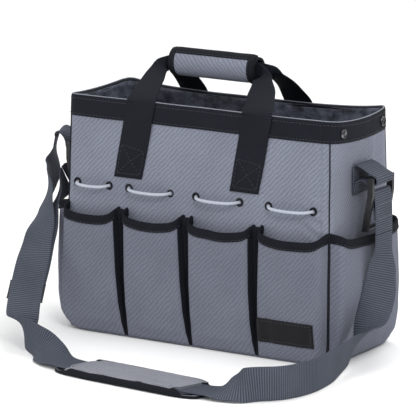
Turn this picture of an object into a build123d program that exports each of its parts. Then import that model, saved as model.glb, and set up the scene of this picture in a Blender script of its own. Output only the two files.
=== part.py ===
from build123d import *
import math
import os

# Garden tool bag: an open-topped tote with four front pockets, two side pockets, elastic tool
# loops, a pair of webbing handles joined by a padded wrap, and a shoulder strap with its pad.
# Millimetres. +Z is up, the front is -Y, and the origin is the middle of the base on the ground.

# Body
BASE_WIDTH = 360.0
TOP_WIDTH = 350.0
BASE_DEPTH = 150.0
TOP_DEPTH = 128.0
HEIGHT = 276.0
CORNER_RADIUS = 10.0
WALL = 3.0
LINING = 1.0
BASE_PANEL = 2.4
BASE_BOARD = 2.6
PIPING_RADIUS = 1.2

# Webbing and bindings
WEBBING = 1.8
RIM_BAND_HEIGHT = 23.0
RIM_BAND_THICKNESS = 1.4
HANDLE_WIDTH = 38.0
STRAP_WIDTH = 38.0
STRAP_THICKNESS = 2.2
BINDING_HEIGHT = 9.0
BINDING_THICKNESS = 0.9

# Pockets: depth in front of the panel at four heights, and the sagging top edge
POCKET_WALL = 1.6
POCKET_PROFILE = [(2.0, 2.0), (20.0, 9.0), (75.0, 15.0), (156.0, 14.0)]
POCKET_TOP = 152.0
POCKET_SAG = 11.0
POCKET_GAP_TOP = 5.0
POCKET_GAP_BASE = 1.6
FRONT_DIVIDERS_TOP = [-98.0, -10.0, 84.0]
FRONT_DIVIDERS_BASE = [-88.0, 0.0, 88.0]
POCKET_EDGE_TOP = 171.0
POCKET_EDGE_BASE = 174.0
SIDE_POCKET_EDGE_TOP = 60.0
SIDE_POCKET_EDGE_BASE = 66.0
LABEL_EDGES = (92.0, 166.0)
LABEL_HEIGHTS = (22.0, 50.0)
LABEL_THICKNESS = 0.8

# Elastic tool loops and their eyelets
LOOP_SPANS = [(-161.0, -117.0), (-90.0, -33.0), (1.0, 59.0), (97.0, 155.0)]
LOOP_HEIGHT = 175.0
LOOP_RADIUS = 1.8
LOOP_STANDOFF = 6.0
LOOP_BULGE = 11.0
LOOP_SAG = 1.5
LOOP_INSIDE = 8.0
KNOT_RADIUS = 3.4
EYELET_OUTER = 5.0
EYELET_BARREL = 3.2
EYELET_BORE = 2.2
EYELET_FLANGE = 0.9

# Press studs on the side bands
STUD_RADIUS = 5.5
STUD_HEIGHT = 2.0
STUD_OFFSETS = (-44.0, 46.0)
STUD_Z = 264.0

# Handles and grip
LEG_FOOT_Z = 187.0
GRIP_CENTRE_Z = 316.0
GRIP_LEFT = -70.0
GRIP_RIGHT = 44.0
SLEEVE_OUTER = 14.8
SLEEVE_INNER = 10.2
FLAP_INNER = 15.3
FLAP_OUTER = 17.3
FLAP_TOP_ANGLE = 70.0
FLAP_HINGE_ANGLE = -75.0
FLAP_BINDING = 6.0
FRONT_FEET = (-91.0, 65.0)
FRONT_RIMS = (-74.0, 81.0)
BACK_FEET = (-88.0, 58.0)
BACK_RIMS = (-86.0, 56.0)

# Strap hardware: a three-bar buckle that swings in a sewn tab, one on each side
BAR_X = 203.0
TOP_BAR_Z = 206.0
MIDDLE_BAR_Z = 190.0
LOWER_BAR_X = 196.0
LOWER_BAR_Z = 152.0
BAR_RADIUS = 3.0
BAR_CLEARANCE = 0.08
BUCKLE_INNER = 41.0
BUCKLE_SIDE = 4.5
TAB_WIDTH = 38.0
TAB_EYE_RADIUS = 5.2
STRAP_JOIN_Z = 145.0
STRAP_JOIN_GAP = 0.4

SLIDER_SIZE = (44.0, 26.0)
SLIDER_THICKNESS = 2.6
SLIDER_SLOT = 6.0
SLIDER_SLOT_OFFSET = 5.5

# Shoulder pad, lying on the ground in front of the bag
PAD_LENGTH = 206.0
PAD_WIDTH = 62.0
PAD_THICKNESS = 9.0
PAD_BINDING = 7.0
PAD_CENTRE = (28.0, -236.0)
PAD_TURN = -5.0
PAD_SLOT_HEIGHT = 3.2

# Where the strap's middle line runs, from the right buckle to the left one, with the direction
# of its width at each point.
STRAP_ROUTE = [
    ((207.4, 0.0, 144.6), (0.0, 1.0, 0.0)),
    ((207.4, 0.0, 126.0), (0.0, 1.0, 0.0)),
    ((209.3, -7.0, 102.0), (0.45, 0.89, 0.0)),
    ((211.5, -18.0, 76.0), (0.78, 0.62, 0.05)),
    ((212.0, -32.0, 54.0), (0.82, 0.5, 0.3)),
    ((212.0, -56.0, 36.0), (0.6, 0.35, 0.72)),
    ((214.0, -92.0, 24.5), (0.2, 0.1, 0.97)),
    ((219.0, -138.0, 20.5), (0.0, 0.0, 1.0)),
    ((222.0, -184.0, 20.5), (0.0, 0.0, 1.0)),
    ((209.0, -224.0, 20.5), (0.0, 0.0, 1.0)),
    ((182.0, -243.0, 20.5), (0.0, 0.1, 1.0)),
    ((158.0, -246.5, 13.8), (0.0, 0.8, 0.6)),
    ((133.0, -245.5, 5.4), (0.0, 1.0, 0.0)),
    ((84.0, -241.0, 4.7), (0.0, 1.0, 0.0)),
    ((30.0, -236.2, 4.6), (0.0, 1.0, 0.0)),
    ((-24.0, -231.3, 4.7), (0.0, 1.0, 0.0)),
    ((-77.0, -226.6, 5.2), (0.0, 1.0, 0.0)),
    ((-101.0, -219.0, 12.9), (0.0, 0.8, 0.6)),
    ((-126.0, -207.0, 20.8), (0.0, 0.1, 1.0)),
    ((-152.0, -196.0, 23.0), (-0.35, 0.1, 0.93)),
    ((-167.0, -174.0, 46.0), (-0.88, -0.42, 0.13)),
    ((-181.0, -138.0, 78.0), (-0.88, -0.42, 0.13)),
    ((-198.0, -95.0, 112.0), (-0.94, -0.23, -0.27)),
    ((-217.0, -52.0, 144.0), (-0.68, 0.25, -0.69)),
    ((-230.0, -22.0, 165.0), (-0.1, 0.61, -0.79)),
]
# The strap's second layer, from the left buckle back down to the slider.
RETURN_ROUTE = [
    ((-214.8, -12.4, 162.4), (0.0, -0.8, 0.55)),
    ((-211.0, -46.0, 140.0), (0.68, -0.25, 0.69)),
    ((-197.6, -90.0, 106.5), (0.94, 0.23, 0.27)),
    ((-182.5, -134.0, 72.5), (0.88, 0.42, -0.13)),
    ((-177.5, -149.0, 59.5), (0.88, 0.42, -0.13)),
]
# The strap's bend over the left buckle's middle bar, which moves with the buckle.
BIGHT_ROUTE = [
    ((-230.2, -21.5, 165.35), (0.1, -0.61, 0.79)),
    ((-235.4, -9.5, 173.75), (0.0, -0.8, 0.55)),
    ((-239.0, -2.0, 198.0), (0.0, -1.0, 0.1)),
    ((-231.0, -1.0, 221.0), (0.0, -1.0, 0.0)),
    ((-216.0, 0.0, 214.0), (0.0, -1.0, 0.0)),
    ((-210.0, 0.0, 198.0), (0.0, -1.0, 0.0)),
    ((-197.4, 0.0, 197.2), (0.0, -1.0, 0.0)),
    ((-197.4, 0.0, 182.8), (0.0, -1.0, 0.0)),
    ((-213.0, 0.0, 180.5), (0.0, -1.0, 0.1)),
    ((-215.5, -5.0, 167.5), (0.0, -0.85, 0.5)),
    ((-215.05, -9.6, 164.3), (0.0, -0.8, 0.55)),
]
# The strap's sewn end, looped over the right buckle's middle bar.
END_ROUTE = [
    ((207.4, 0.0, 145.0), (0.0, 1.0, 0.0)),
    ((207.4, 0.0, 195.0), (0.0, 1.0, 0.0)),
    ((198.6, 0.0, 195.0), (0.0, 1.0, 0.0)),
    ((199.0, 0.0, 181.0), (0.0, 1.0, 0.0)),
    ((205.0, 0.0, 171.0), (0.0, 1.0, 0.0)),
    ((205.0, 0.0, 162.0), (0.0, 1.0, 0.0)),
]


def half_width(z):
    return (BASE_WIDTH + (TOP_WIDTH - BASE_WIDTH) * z / HEIGHT) / 2


def half_depth(z):
    return (BASE_DEPTH + (TOP_DEPTH - BASE_DEPTH) * z / HEIGHT) / 2


def on_front(s, d, z):
    return (s, -half_depth(z) - d, z)


def on_back(s, d, z):
    return (s, half_depth(z) + d, z)


def on_right(s, d, z):
    return (half_width(z) + d, s, z)


def on_left(s, d, z):
    return (-half_width(z) - d, s, z)


def polygon_loft(sections):
    """A solid with flat-sided sections, each a list of points in one plane."""
    wires = [Wire.make_polygon([Vector(*point) for point in points], close=True) for points in sections]
    return Solid.make_loft(wires, ruled=True)


def tub(offset, low, high):
    """The body's tapered, round-cornered block between two heights, grown by an offset."""
    sections = []
    for z in (low, high):
        outline = RectangleRounded(
            2 * (half_width(z) + offset), 2 * (half_depth(z) + offset), CORNER_RADIUS + offset
        )
        sections.append(Plane.XY.offset(z) * outline)
    return loft(sections, ruled=True)


def quarter(place, low, high):
    """The wedge of space in front of one face, mitred at the body's corners."""
    reach = 30.0
    sections = []
    for z in (low, high):
        long_half, short_half = half_width(z), half_depth(z)
        if place in (on_left, on_right):
            long_half, short_half = short_half, long_half
        outer = long_half + reach
        inner = long_half - reach
        corners = [(-outer, reach), (outer, reach), (inner, -reach), (-inner, -reach)]
        sections.append([place(s, d, z) for s, d in corners])
    return polygon_loft(sections)


def wall_panel(place, holes=()):
    shell = tub(0, BASE_PANEL, HEIGHT) - tub(-WALL, BASE_PANEL, HEIGHT)
    panel = shell & quarter(place, -1, HEIGHT + 5)
    for hole in holes:
        panel -= hole
    return panel


def rim_band(place):
    low = HEIGHT - RIM_BAND_HEIGHT
    high = HEIGHT + RIM_BAND_THICKNESS
    inside = -WALL - LINING
    band = tub(RIM_BAND_THICKNESS, low, high) - tub(inside - RIM_BAND_THICKNESS, low, high)
    band -= tub(0, low, HEIGHT) - tub(inside, low, HEIGHT)
    return band & quarter(place, low - 5, high + 5)


def lining(holes):
    floor = BASE_PANEL + BASE_BOARD
    sleeve = tub(-WALL, floor, HEIGHT) - tub(-WALL - LINING, floor + LINING, HEIGHT)
    for hole in holes:
        sleeve -= hole
    return sleeve


def corner_piping():
    """Four cords, one in each upright corner seam."""
    inset = CORNER_RADIUS * (1 - math.sqrt(0.5)) - (PIPING_RADIUS + 0.1) * math.sqrt(0.5)
    rods = []
    for side_x in (-1, 1):
        for side_y in (-1, 1):
            ends = []
            for z in (BASE_PANEL + 1, HEIGHT - RIM_BAND_HEIGHT - 1):
                ends.append((side_x * (half_width(z) - inset), side_y * (half_depth(z) - inset), z))
            axis = Line(*ends)
            rods.append(sweep(Plane(axis @ 0, z_dir=axis % 0) * Circle(PIPING_RADIUS), axis))
    return Compound(children=rods)


def pocket_depth(z):
    for (low, start), (high, end) in zip(POCKET_PROFILE, POCKET_PROFILE[1:]):
        if z <= high:
            return start + (end - start) * (z - low) / (high - low)
    return POCKET_PROFILE[-1][1]


def pocket_block(place, top_edges, base_edges, inset):
    """A pocket's outer shape, drawn in by an inset and flush with the panel behind it."""
    top_z = POCKET_PROFILE[-1][0]
    sections = []
    for index, (z, depth) in enumerate(POCKET_PROFILE):
        share = z / top_z
        left = base_edges[0] + (top_edges[0] - base_edges[0]) * share + inset
        right = base_edges[1] + (top_edges[1] - base_edges[1]) * share - inset
        out = max(depth - inset, 0.3)
        height = z + inset if index == 0 else z
        outline = [(left, 0), (left + 2, 0.75 * out), (left + 9, out)]
        outline += [(right - 9, out), (right - 2, 0.75 * out), (right, 0)]
        sections.append([place(s, d, height) for s, d in outline])
    return polygon_loft(sections)


def sag_cylinder(place, top_edges, grow):
    """The round cutter that leaves a pocket's top edge sagging between its corners."""
    middle = sum(top_edges) / 2
    half_chord = (top_edges[1] - top_edges[0]) / 2
    radius = (half_chord**2 + POCKET_SAG**2) / (2 * POCKET_SAG)
    centre = place(middle, 0, POCKET_TOP - POCKET_SAG + radius)
    turn = (90, 0, 0) if place in (on_front, on_back) else (0, 90, 0)
    return Pos(*centre) * Cylinder(radius + grow, 120, rotation=turn)


def pocket(place, top_edges, base_edges):
    block = pocket_block(place, top_edges, base_edges, 0)
    wall = block - pocket_block(place, top_edges, base_edges, POCKET_WALL)
    return wall - sag_cylinder(place, top_edges, 0)


def pocket_binding(place, top_edges, base_edges):
    outside = pocket_block(place, top_edges, base_edges, -BINDING_THICKNESS)
    sleeve = outside - pocket_block(place, top_edges, base_edges, POCKET_WALL + BINDING_THICKNESS)
    tape = sleeve & sag_cylinder(place, top_edges, BINDING_HEIGHT)
    tape -= sag_cylinder(place, top_edges, -BINDING_THICKNESS)
    return tape - pocket(place, top_edges, base_edges)


def front_pocket_edges(index):
    tops = [-POCKET_EDGE_TOP - POCKET_GAP_TOP] + FRONT_DIVIDERS_TOP + [POCKET_EDGE_TOP + POCKET_GAP_TOP]
    bases = [-POCKET_EDGE_BASE - POCKET_GAP_BASE] + FRONT_DIVIDERS_BASE
    bases += [POCKET_EDGE_BASE + POCKET_GAP_BASE]
    top_edges = (tops[index] + POCKET_GAP_TOP, tops[index + 1] - POCKET_GAP_TOP)
    base_edges = (bases[index] + POCKET_GAP_BASE, bases[index + 1] - POCKET_GAP_BASE)
    return top_edges, base_edges


def pocket_gusset(index):
    """The folded strip between two pockets, wide at the top and closed at the base."""
    thickness = 2.0
    clear = 1.8
    sections = []
    for z, middle, half in (
        (POCKET_PROFILE[0][0], FRONT_DIVIDERS_BASE[index], POCKET_GAP_BASE - clear / 2),
        (POCKET_TOP - 2, FRONT_DIVIDERS_TOP[index], POCKET_GAP_TOP - clear),
    ):
        outline = [(middle - half, 0), (middle - half, thickness), (middle + half, thickness), (middle + half, 0)]
        sections.append([on_front(s, d, z) for s, d in outline])
    return polygon_loft(sections)


def label_patch():
    sections = []
    for z in LABEL_HEIGHTS:
        depth = pocket_depth(z)
        outline = [(LABEL_EDGES[0], depth), (LABEL_EDGES[0], depth + LABEL_THICKNESS)]
        outline += [(LABEL_EDGES[1], depth + LABEL_THICKNESS), (LABEL_EDGES[1], depth)]
        sections.append([on_front(s, d, z) for s, d in outline])
    return polygon_loft(sections)


def eyelet_planes():
    lean = math.atan2((BASE_DEPTH - TOP_DEPTH) / 2, HEIGHT)
    outward = (0, -math.cos(lean), math.sin(lean))
    planes = []
    for span in LOOP_SPANS:
        for s in span:
            planes.append(Plane(origin=on_front(s, 0, LOOP_HEIGHT), x_dir=(1, 0, 0), z_dir=outward))
    return planes


def drum(plane, radius, low, high):
    return plane * Pos(0, 0, (low + high) / 2) * Cylinder(radius, high - low)


def eyelets():
    """Eight two-part eyelets, set through the front panel and its lining."""
    back = -WALL - LINING
    rings = []
    for plane in eyelet_planes():
        ring = drum(plane, EYELET_OUTER, 0, EYELET_FLANGE)
        ring += drum(plane, EYELET_BARREL, back, 0)
        ring += drum(plane, EYELET_OUTER, back - EYELET_FLANGE, back)
        rings.append(ring - drum(plane, EYELET_BORE, back - 5, 5))
    return Compound(children=rings)


def tool_loop(span):
    """One elastic cord, from the knot inside, out round the tool and back in again."""
    left, right = span
    quarter_span = (right - left) / 4
    points = [
        on_front(left, -LOOP_INSIDE, LOOP_HEIGHT),
        on_front(left, LOOP_STANDOFF, LOOP_HEIGHT),
        on_front(left + quarter_span, LOOP_BULGE, LOOP_HEIGHT - LOOP_SAG),
        on_front(right - quarter_span, LOOP_BULGE, LOOP_HEIGHT - LOOP_SAG),
        on_front(right, LOOP_STANDOFF, LOOP_HEIGHT),
        on_front(right, -LOOP_INSIDE, LOOP_HEIGHT),
    ]
    path = FilletPolyline(*points, radius=[5.5, 20.0, 20.0, 5.5])
    cord = sweep(Plane(path @ 0, z_dir=path % 0) * Circle(LOOP_RADIUS), path)
    ideal = math.pi * LOOP_RADIUS**2 * path.length
    print(f"tool loop: length {path.length:.1f}, volume ratio {cord.volume / ideal:.3f}")
    return cord


def loop_knots():
    knots = [plane * Pos(0, 0, -LOOP_INSIDE - KNOT_RADIUS) * Sphere(KNOT_RADIUS) for plane in eyelet_planes()]
    return Compound(children=knots)


def press_studs():
    """Four stud caps on the side bands, which fasten the sides when they are folded in."""
    lean = math.atan2((BASE_WIDTH - TOP_WIDTH) / 2, HEIGHT)
    caps = []
    for place, outward in ((on_right, 1), (on_left, -1)):
        for s in STUD_OFFSETS:
            origin = place(s, RIM_BAND_THICKNESS, STUD_Z)
            base = Plane(origin=origin, z_dir=(outward * math.cos(lean), 0, math.sin(lean)))
            cap = drum(base, STUD_RADIUS, 0.02, STUD_HEIGHT)
            caps.append(cap - drum(base, STUD_RADIUS - 2.2, STUD_HEIGHT - 0.8, STUD_HEIGHT + 1))
    return Compound(children=caps)


def handle_leg(place, foot, rim):
    """The sewn end of a handle: flat on the panel, then stepped out over the rim band."""
    step = HEIGHT - RIM_BAND_HEIGHT
    sections = []
    profile = [(LEG_FOOT_Z, 0.0), (step - 4, 0.0), (step - 0.1, RIM_BAND_THICKNESS)]
    profile.append((HEIGHT + RIM_BAND_THICKNESS, RIM_BAND_THICKNESS))
    for z, back in profile:
        middle = foot + (rim - foot) * (z - LEG_FOOT_Z) / (HEIGHT - LEG_FOOT_Z)
        left, right = middle - HANDLE_WIDTH / 2, middle + HANDLE_WIDTH / 2
        outline = [(left, back), (left, back + WEBBING), (right, back + WEBBING), (right, back)]
        sections.append([place(s, d, z) for s, d in outline])
    return polygon_loft(sections)


def route_radii(points):
    """The largest tangent arcs that the runs either side of each corner allow."""
    radii = []
    for before, corner, after in zip(points, points[1:], points[2:]):
        run_in = Vector(*corner) - Vector(*before)
        run_out = Vector(*after) - Vector(*corner)
        turn = math.radians(run_in.get_angle(run_out))
        radii.append(0.45 * min(run_in.length, run_out.length) / math.tan(turn / 2))
    return radii


def triangle(*corners):
    return Face(Wire.make_polygon(corners, close=True))


def faceted_tube(rings):
    """A closed solid of triangles through four-cornered rings, with its two broad faces split alike."""
    first, last = rings[0], rings[-1]
    faces = [triangle(*first[:3]), triangle(first[0], first[2], first[3])]
    faces += [triangle(*last[:3]), triangle(last[0], last[2], last[3])]
    for near, far in zip(rings, rings[1:]):
        for one, two in ((0, 1), (1, 2), (3, 2), (0, 3)):
            faces.append(triangle(near[one], near[two], far[two]))
            faces.append(triangle(near[one], far[two], far[one]))
    return Solid(Shell(faces))


def ribbon(name, route, width, thickness, pieces=3):
    """A flat band along a route of straight runs joined by arcs, turned as its width directions say."""
    points = [point for point, _ in route]
    across = [Vector(*direction).normalized() for _, direction in route]
    widths = width if isinstance(width, list) else [width] * len(route)
    radii = route_radii(points)
    path = FilletPolyline(*points, radius=radii)
    marks = [0.0]
    for start, end in zip(points, points[1:]):
        marks.append(marks[-1] + (Vector(*end) - Vector(*start)).length)
    marks = [mark / marks[-1] for mark in marks]
    rings = []
    for index in range(len(route) - 1):
        last = index == len(route) - 2
        for step in range(pieces + 1 if last else pieces):
            blend = step / pieces
            share = marks[index] + (marks[index + 1] - marks[index]) * blend
            centre = path @ share
            along = (path % share).normalized()
            turned = across[index] * (1 - blend) + across[index + 1] * blend
            side = (turned - along * turned.dot(along)).normalized()
            flat = along.cross(side)
            half_side = side * ((widths[index] * (1 - blend) + widths[index + 1] * blend) / 2)
            half_flat = flat * (thickness / 2)
            corners = [centre + half_side + half_flat, centre + half_side - half_flat]
            corners += [centre - half_side - half_flat, centre - half_side + half_flat]
            rings.append(corners)
    band = faceted_tube(rings)
    shares = [end - start for start, end in zip(marks, marks[1:])]
    mean_width = sum(share * (a + b) / 2 for share, a, b in zip(shares, widths, widths[1:]))
    ideal = path.length * thickness * mean_width
    print(f"{name}: length {path.length:.0f}, volume ratio {band.volume / ideal:.3f}, radii",
          [round(radius) for radius in radii])
    return band


def handle_webbing(name, side, rims):
    """A handle's free part: up from the rim, through the grip and down again."""
    rim_y = side * (half_depth(HEIGHT) + RIM_BAND_THICKNESS + WEBBING / 2)
    inner_y = side * 2.6
    left, right = rims
    rim_z = HEIGHT + RIM_BAND_THICKNESS + 1.3
    grip_z = GRIP_CENTRE_Z
    left_end, right_end = GRIP_LEFT - 14, GRIP_RIGHT + 14
    route = [
        ((left, rim_y, rim_z), (1, 0, 0)),
        ((left, rim_y * 0.84, rim_z + 6.7), (1, 0, 0)),
        ((left * 0.6 + left_end * 0.4, rim_y * 0.62, rim_z + 15), (1, 0, 0)),
        ((left_end, rim_y * 0.25, grip_z - 8), (0.8, side * 0.5, -0.3)),
        ((GRIP_LEFT - 9, inner_y, grip_z - 0.3), (0, side * 0.05, -1)),
        ((GRIP_LEFT + 20, inner_y, grip_z + 0.3), (0, side * 0.05, -1)),
        ((GRIP_RIGHT - 20, inner_y, grip_z + 0.3), (0, side * 0.05, -1)),
        ((GRIP_RIGHT + 9, inner_y, grip_z - 0.3), (0, side * 0.05, -1)),
        ((right_end, rim_y * 0.25, grip_z - 8), (-0.8, side * 0.5, -0.3)),
        ((right * 0.6 + right_end * 0.4, rim_y * 0.62, rim_z + 15), (-1, 0, 0)),
        ((right, rim_y * 0.84, rim_z + 6.7), (-1, 0, 0)),
        ((right, rim_y, rim_z), (-1, 0, 0)),
    ]
    narrow, wide = 15.0, HANDLE_WIDTH
    widths = [wide, wide - 2, wide - 6, 24.0, narrow, narrow, narrow, narrow, 24.0, wide - 6, wide - 2, wide]
    return ribbon(name, route, widths, WEBBING, pieces=4)


def grip_arc(inner, outer, start, end, left, right):
    """Part of a tube along the grip, between two angles measured up from straight forward."""
    steps = 12
    outline = []
    for radius, angles in ((outer, range(steps + 1)), (inner, range(steps, -1, -1))):
        for index in angles:
            angle = math.radians(start + (end - start) * index / steps)
            outline.append((-radius * math.cos(angle), GRIP_CENTRE_Z + radius * math.sin(angle)))
    return polygon_loft([[(x, y, z) for y, z in outline] for x in (left, right)])


def grip_sleeve():
    tube = Cylinder(SLEEVE_OUTER, GRIP_RIGHT - GRIP_LEFT) - Cylinder(SLEEVE_INNER, GRIP_RIGHT - GRIP_LEFT)
    middle = (GRIP_LEFT + GRIP_RIGHT) / 2
    return Pos(middle, 0, GRIP_CENTRE_Z) * Rot(0, 90, 0) * tube


def grip_flap():
    inset = FLAP_BINDING
    return grip_arc(FLAP_INNER, FLAP_OUTER, FLAP_HINGE_ANGLE, FLAP_TOP_ANGLE - 22, GRIP_LEFT + inset, GRIP_RIGHT - inset)


def grip_flap_binding():
    """The bound edge round the flap's two ends and its free edge."""
    frame = grip_arc(FLAP_INNER, FLAP_OUTER + 0.5, FLAP_HINGE_ANGLE, FLAP_TOP_ANGLE, GRIP_LEFT, GRIP_RIGHT)
    window = grip_arc(
        FLAP_INNER - 1, FLAP_OUTER + 1, FLAP_HINGE_ANGLE - 5, FLAP_TOP_ANGLE - 22,
        GRIP_LEFT + FLAP_BINDING, GRIP_RIGHT - FLAP_BINDING,
    )
    return frame - window


def side_extrusion(outline, half):
    """A profile in the XZ plane, drawn out evenly to both sides in Y."""
    return polygon_loft([[(x, y, z) for x, z in outline] for y in (-half, half)])


def bar_along_y(x, z, radius, half):
    return Pos(x, 0, z) * Cylinder(radius, 2 * half, rotation=(90, 0, 0))


def strap_tab(side):
    """The webbing tab sewn to the side panel, with the eye that the buckle's top bar turns in."""
    top_z, low_z = TOP_BAR_Z + 22, TOP_BAR_Z - 16
    face_top, face_low = half_width(top_z), half_width(low_z)
    outline = [(face_top, top_z), (face_top + 2, top_z), (BAR_X - 1, TOP_BAR_Z + TAB_EYE_RADIUS)]
    outline += [(BAR_X - 3, TOP_BAR_Z - TAB_EYE_RADIUS + 0.8), (face_low + 2, low_z), (face_low, low_z)]
    window = [(face_top + 2.4, top_z - 6), (BAR_X - 6, TOP_BAR_Z + 4), (BAR_X - 6, TOP_BAR_Z - 2.6)]
    window += [(face_low + 2.4, low_z + 3.4)]
    half = TAB_WIDTH / 2
    tab = side_extrusion(outline, half) + bar_along_y(BAR_X, TOP_BAR_Z, TAB_EYE_RADIUS, half)
    tab -= side_extrusion(window, half + 1)
    tab -= bar_along_y(BAR_X, TOP_BAR_Z, BAR_RADIUS + BAR_CLEARANCE, half + 1)
    return tab if side > 0 else mirror(tab, about=Plane.YZ)


def buckle(side):
    """A three-bar buckle: two side bars, and three round bars across."""
    half = BUCKLE_INNER / 2 + BUCKLE_SIDE / 2
    frame = bar_along_y(BAR_X, TOP_BAR_Z, BAR_RADIUS, half)
    frame += bar_along_y(BAR_X, MIDDLE_BAR_Z, BAR_RADIUS - 0.4, half)
    frame += bar_along_y(LOWER_BAR_X, LOWER_BAR_Z, BAR_RADIUS, half)
    thick = BAR_RADIUS + 0.4
    outline = [(BAR_X + thick, TOP_BAR_Z + thick), (BAR_X + thick, MIDDLE_BAR_Z), (LOWER_BAR_X + thick, LOWER_BAR_Z - thick)]
    outline += [(LOWER_BAR_X - thick, LOWER_BAR_Z - thick), (BAR_X - thick, MIDDLE_BAR_Z), (BAR_X - thick, TOP_BAR_Z + thick)]
    side_bar = side_extrusion(outline, BUCKLE_SIDE / 2)
    for sign in (-1, 1):
        frame += Pos(0, sign * half, 0) * side_bar
    return frame if side > 0 else mirror(frame, about=Plane.YZ)


def pad_place():
    return Pos(PAD_CENTRE[0], PAD_CENTRE[1], 0) * Rot(0, 0, PAD_TURN)


def pad_block(grow, low, high):
    outline = RectangleRounded(PAD_LENGTH + 2 * grow, PAD_WIDTH + 2 * grow, 14 + grow)
    return Pos(0, 0, low) * extrude(outline, high - low)


def shoulder_pad():
    slot = Pos(0, 0, 4.7) * Box(PAD_LENGTH + 20, STRAP_WIDTH + 3, PAD_SLOT_HEIGHT + 1.6)
    return pad_place() * (pad_block(-PAD_BINDING, 0, PAD_THICKNESS) - slot)


def shoulder_pad_binding():
    ring = pad_block(0, 0.4, PAD_THICKNESS - 0.8) - pad_block(-PAD_BINDING, 0, PAD_THICKNESS)
    slot = Pos(0, 0, 6) * Box(PAD_LENGTH + 20, STRAP_WIDTH + 5, 14)
    return pad_place() * (ring - slot)


def strap_slider():
    """The three-bar slider that joins the strap's two layers at the foot of its loop."""
    along = Vector(-14.0, 36.0, 32.0).normalized()
    across = Vector(0.88, 0.42, -0.13)
    across = (across - along * across.dot(along)).normalized()
    behind = along.cross(across)
    behind *= -1 if behind.Y < 0 else 1
    middle = Vector(-174.0, -156.0, 62.0) + behind * (STRAP_THICKNESS / 2 + SLIDER_THICKNESS / 2 + 0.7)
    plane = Plane(origin=middle, x_dir=across, z_dir=behind)
    plate = Box(SLIDER_SIZE[0], SLIDER_SIZE[1], SLIDER_THICKNESS)
    for sign in (-1, 1):
        plate -= Pos(0, sign * SLIDER_SLOT_OFFSET, 0) * Box(STRAP_WIDTH + 2, SLIDER_SLOT, 2 * SLIDER_THICKNESS)
    return plane * plate


def save(name, shape):
    shape.label = name
    export_step(shape, f"parts/{name}.step")


def main():
    os.makedirs("parts", exist_ok=True)
    holes = [drum(plane, EYELET_BARREL, -WALL - LINING - 4, 4) for plane in eyelet_planes()]

    save("base_panel", tub(0, 0, BASE_PANEL))
    save("base_board", tub(-WALL, BASE_PANEL, BASE_PANEL + BASE_BOARD))
    save("front_panel", wall_panel(on_front, holes))
    save("back_panel", wall_panel(on_back))
    save("left_side_panel", wall_panel(on_left))
    save("right_side_panel", wall_panel(on_right))
    save("lining", lining(holes))
    for name, place in (("front", on_front), ("back", on_back), ("left", on_left), ("right", on_right)):
        save(f"rim_band_{name}", rim_band(place))
    save("corner_piping", corner_piping())

    for index in range(4):
        edges = front_pocket_edges(index)
        save(f"front_pocket_{index + 1}", pocket(on_front, *edges))
        save(f"front_pocket_binding_{index + 1}", pocket_binding(on_front, *edges))
        save(f"tool_loop_{index + 1}", tool_loop(LOOP_SPANS[index]))
    for index in range(3):
        save(f"pocket_gusset_{index + 1}", pocket_gusset(index))
    side_edges = (
        (-SIDE_POCKET_EDGE_TOP, SIDE_POCKET_EDGE_TOP), (-SIDE_POCKET_EDGE_BASE, SIDE_POCKET_EDGE_BASE),
    )
    for name, place in (("left", on_left), ("right", on_right)):
        save(f"{name}_side_pocket", pocket(place, *side_edges))
        save(f"{name}_side_pocket_binding", pocket_binding(place, *side_edges))
    save("eyelets", eyelets())
    save("loop_knots", loop_knots())
    save("press_studs", press_studs())
    save("label_patch", label_patch())

    for name, index in (("left", 0), ("right", 1)):
        save(f"front_handle_{name}_leg", handle_leg(on_front, FRONT_FEET[index], FRONT_RIMS[index]))
        save(f"back_handle_{name}_leg", handle_leg(on_back, BACK_FEET[index], BACK_RIMS[index]))
    save("front_handle_webbing", handle_webbing("front_handle_webbing", -1, FRONT_RIMS))
    save("back_handle_webbing", handle_webbing("back_handle_webbing", 1, BACK_RIMS))
    save("grip_sleeve", grip_sleeve())
    save("grip_flap", grip_flap())
    save("grip_flap_binding", grip_flap_binding())

    for name, side in (("left", -1), ("right", 1)):
        save(f"{name}_strap_tab", strap_tab(side))
        save(f"{name}_buckle", buckle(side))
    save("right_strap_end", ribbon("right_strap_end", END_ROUTE, STRAP_WIDTH, STRAP_THICKNESS, pieces=6))
    save("left_strap_bight", ribbon("left_strap_bight", BIGHT_ROUTE, STRAP_WIDTH, STRAP_THICKNESS, pieces=6))
    save("shoulder_strap", ribbon("shoulder_strap", STRAP_ROUTE, STRAP_WIDTH, STRAP_THICKNESS))
    save("left_strap_return", ribbon("left_strap_return", RETURN_ROUTE, STRAP_WIDTH, STRAP_THICKNESS))
    save("strap_slider", strap_slider())
    save("shoulder_pad", shoulder_pad())
    save("shoulder_pad_binding", shoulder_pad_binding())


main()
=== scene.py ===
import math

import bmesh
import bpy
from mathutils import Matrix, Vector, noise


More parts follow.
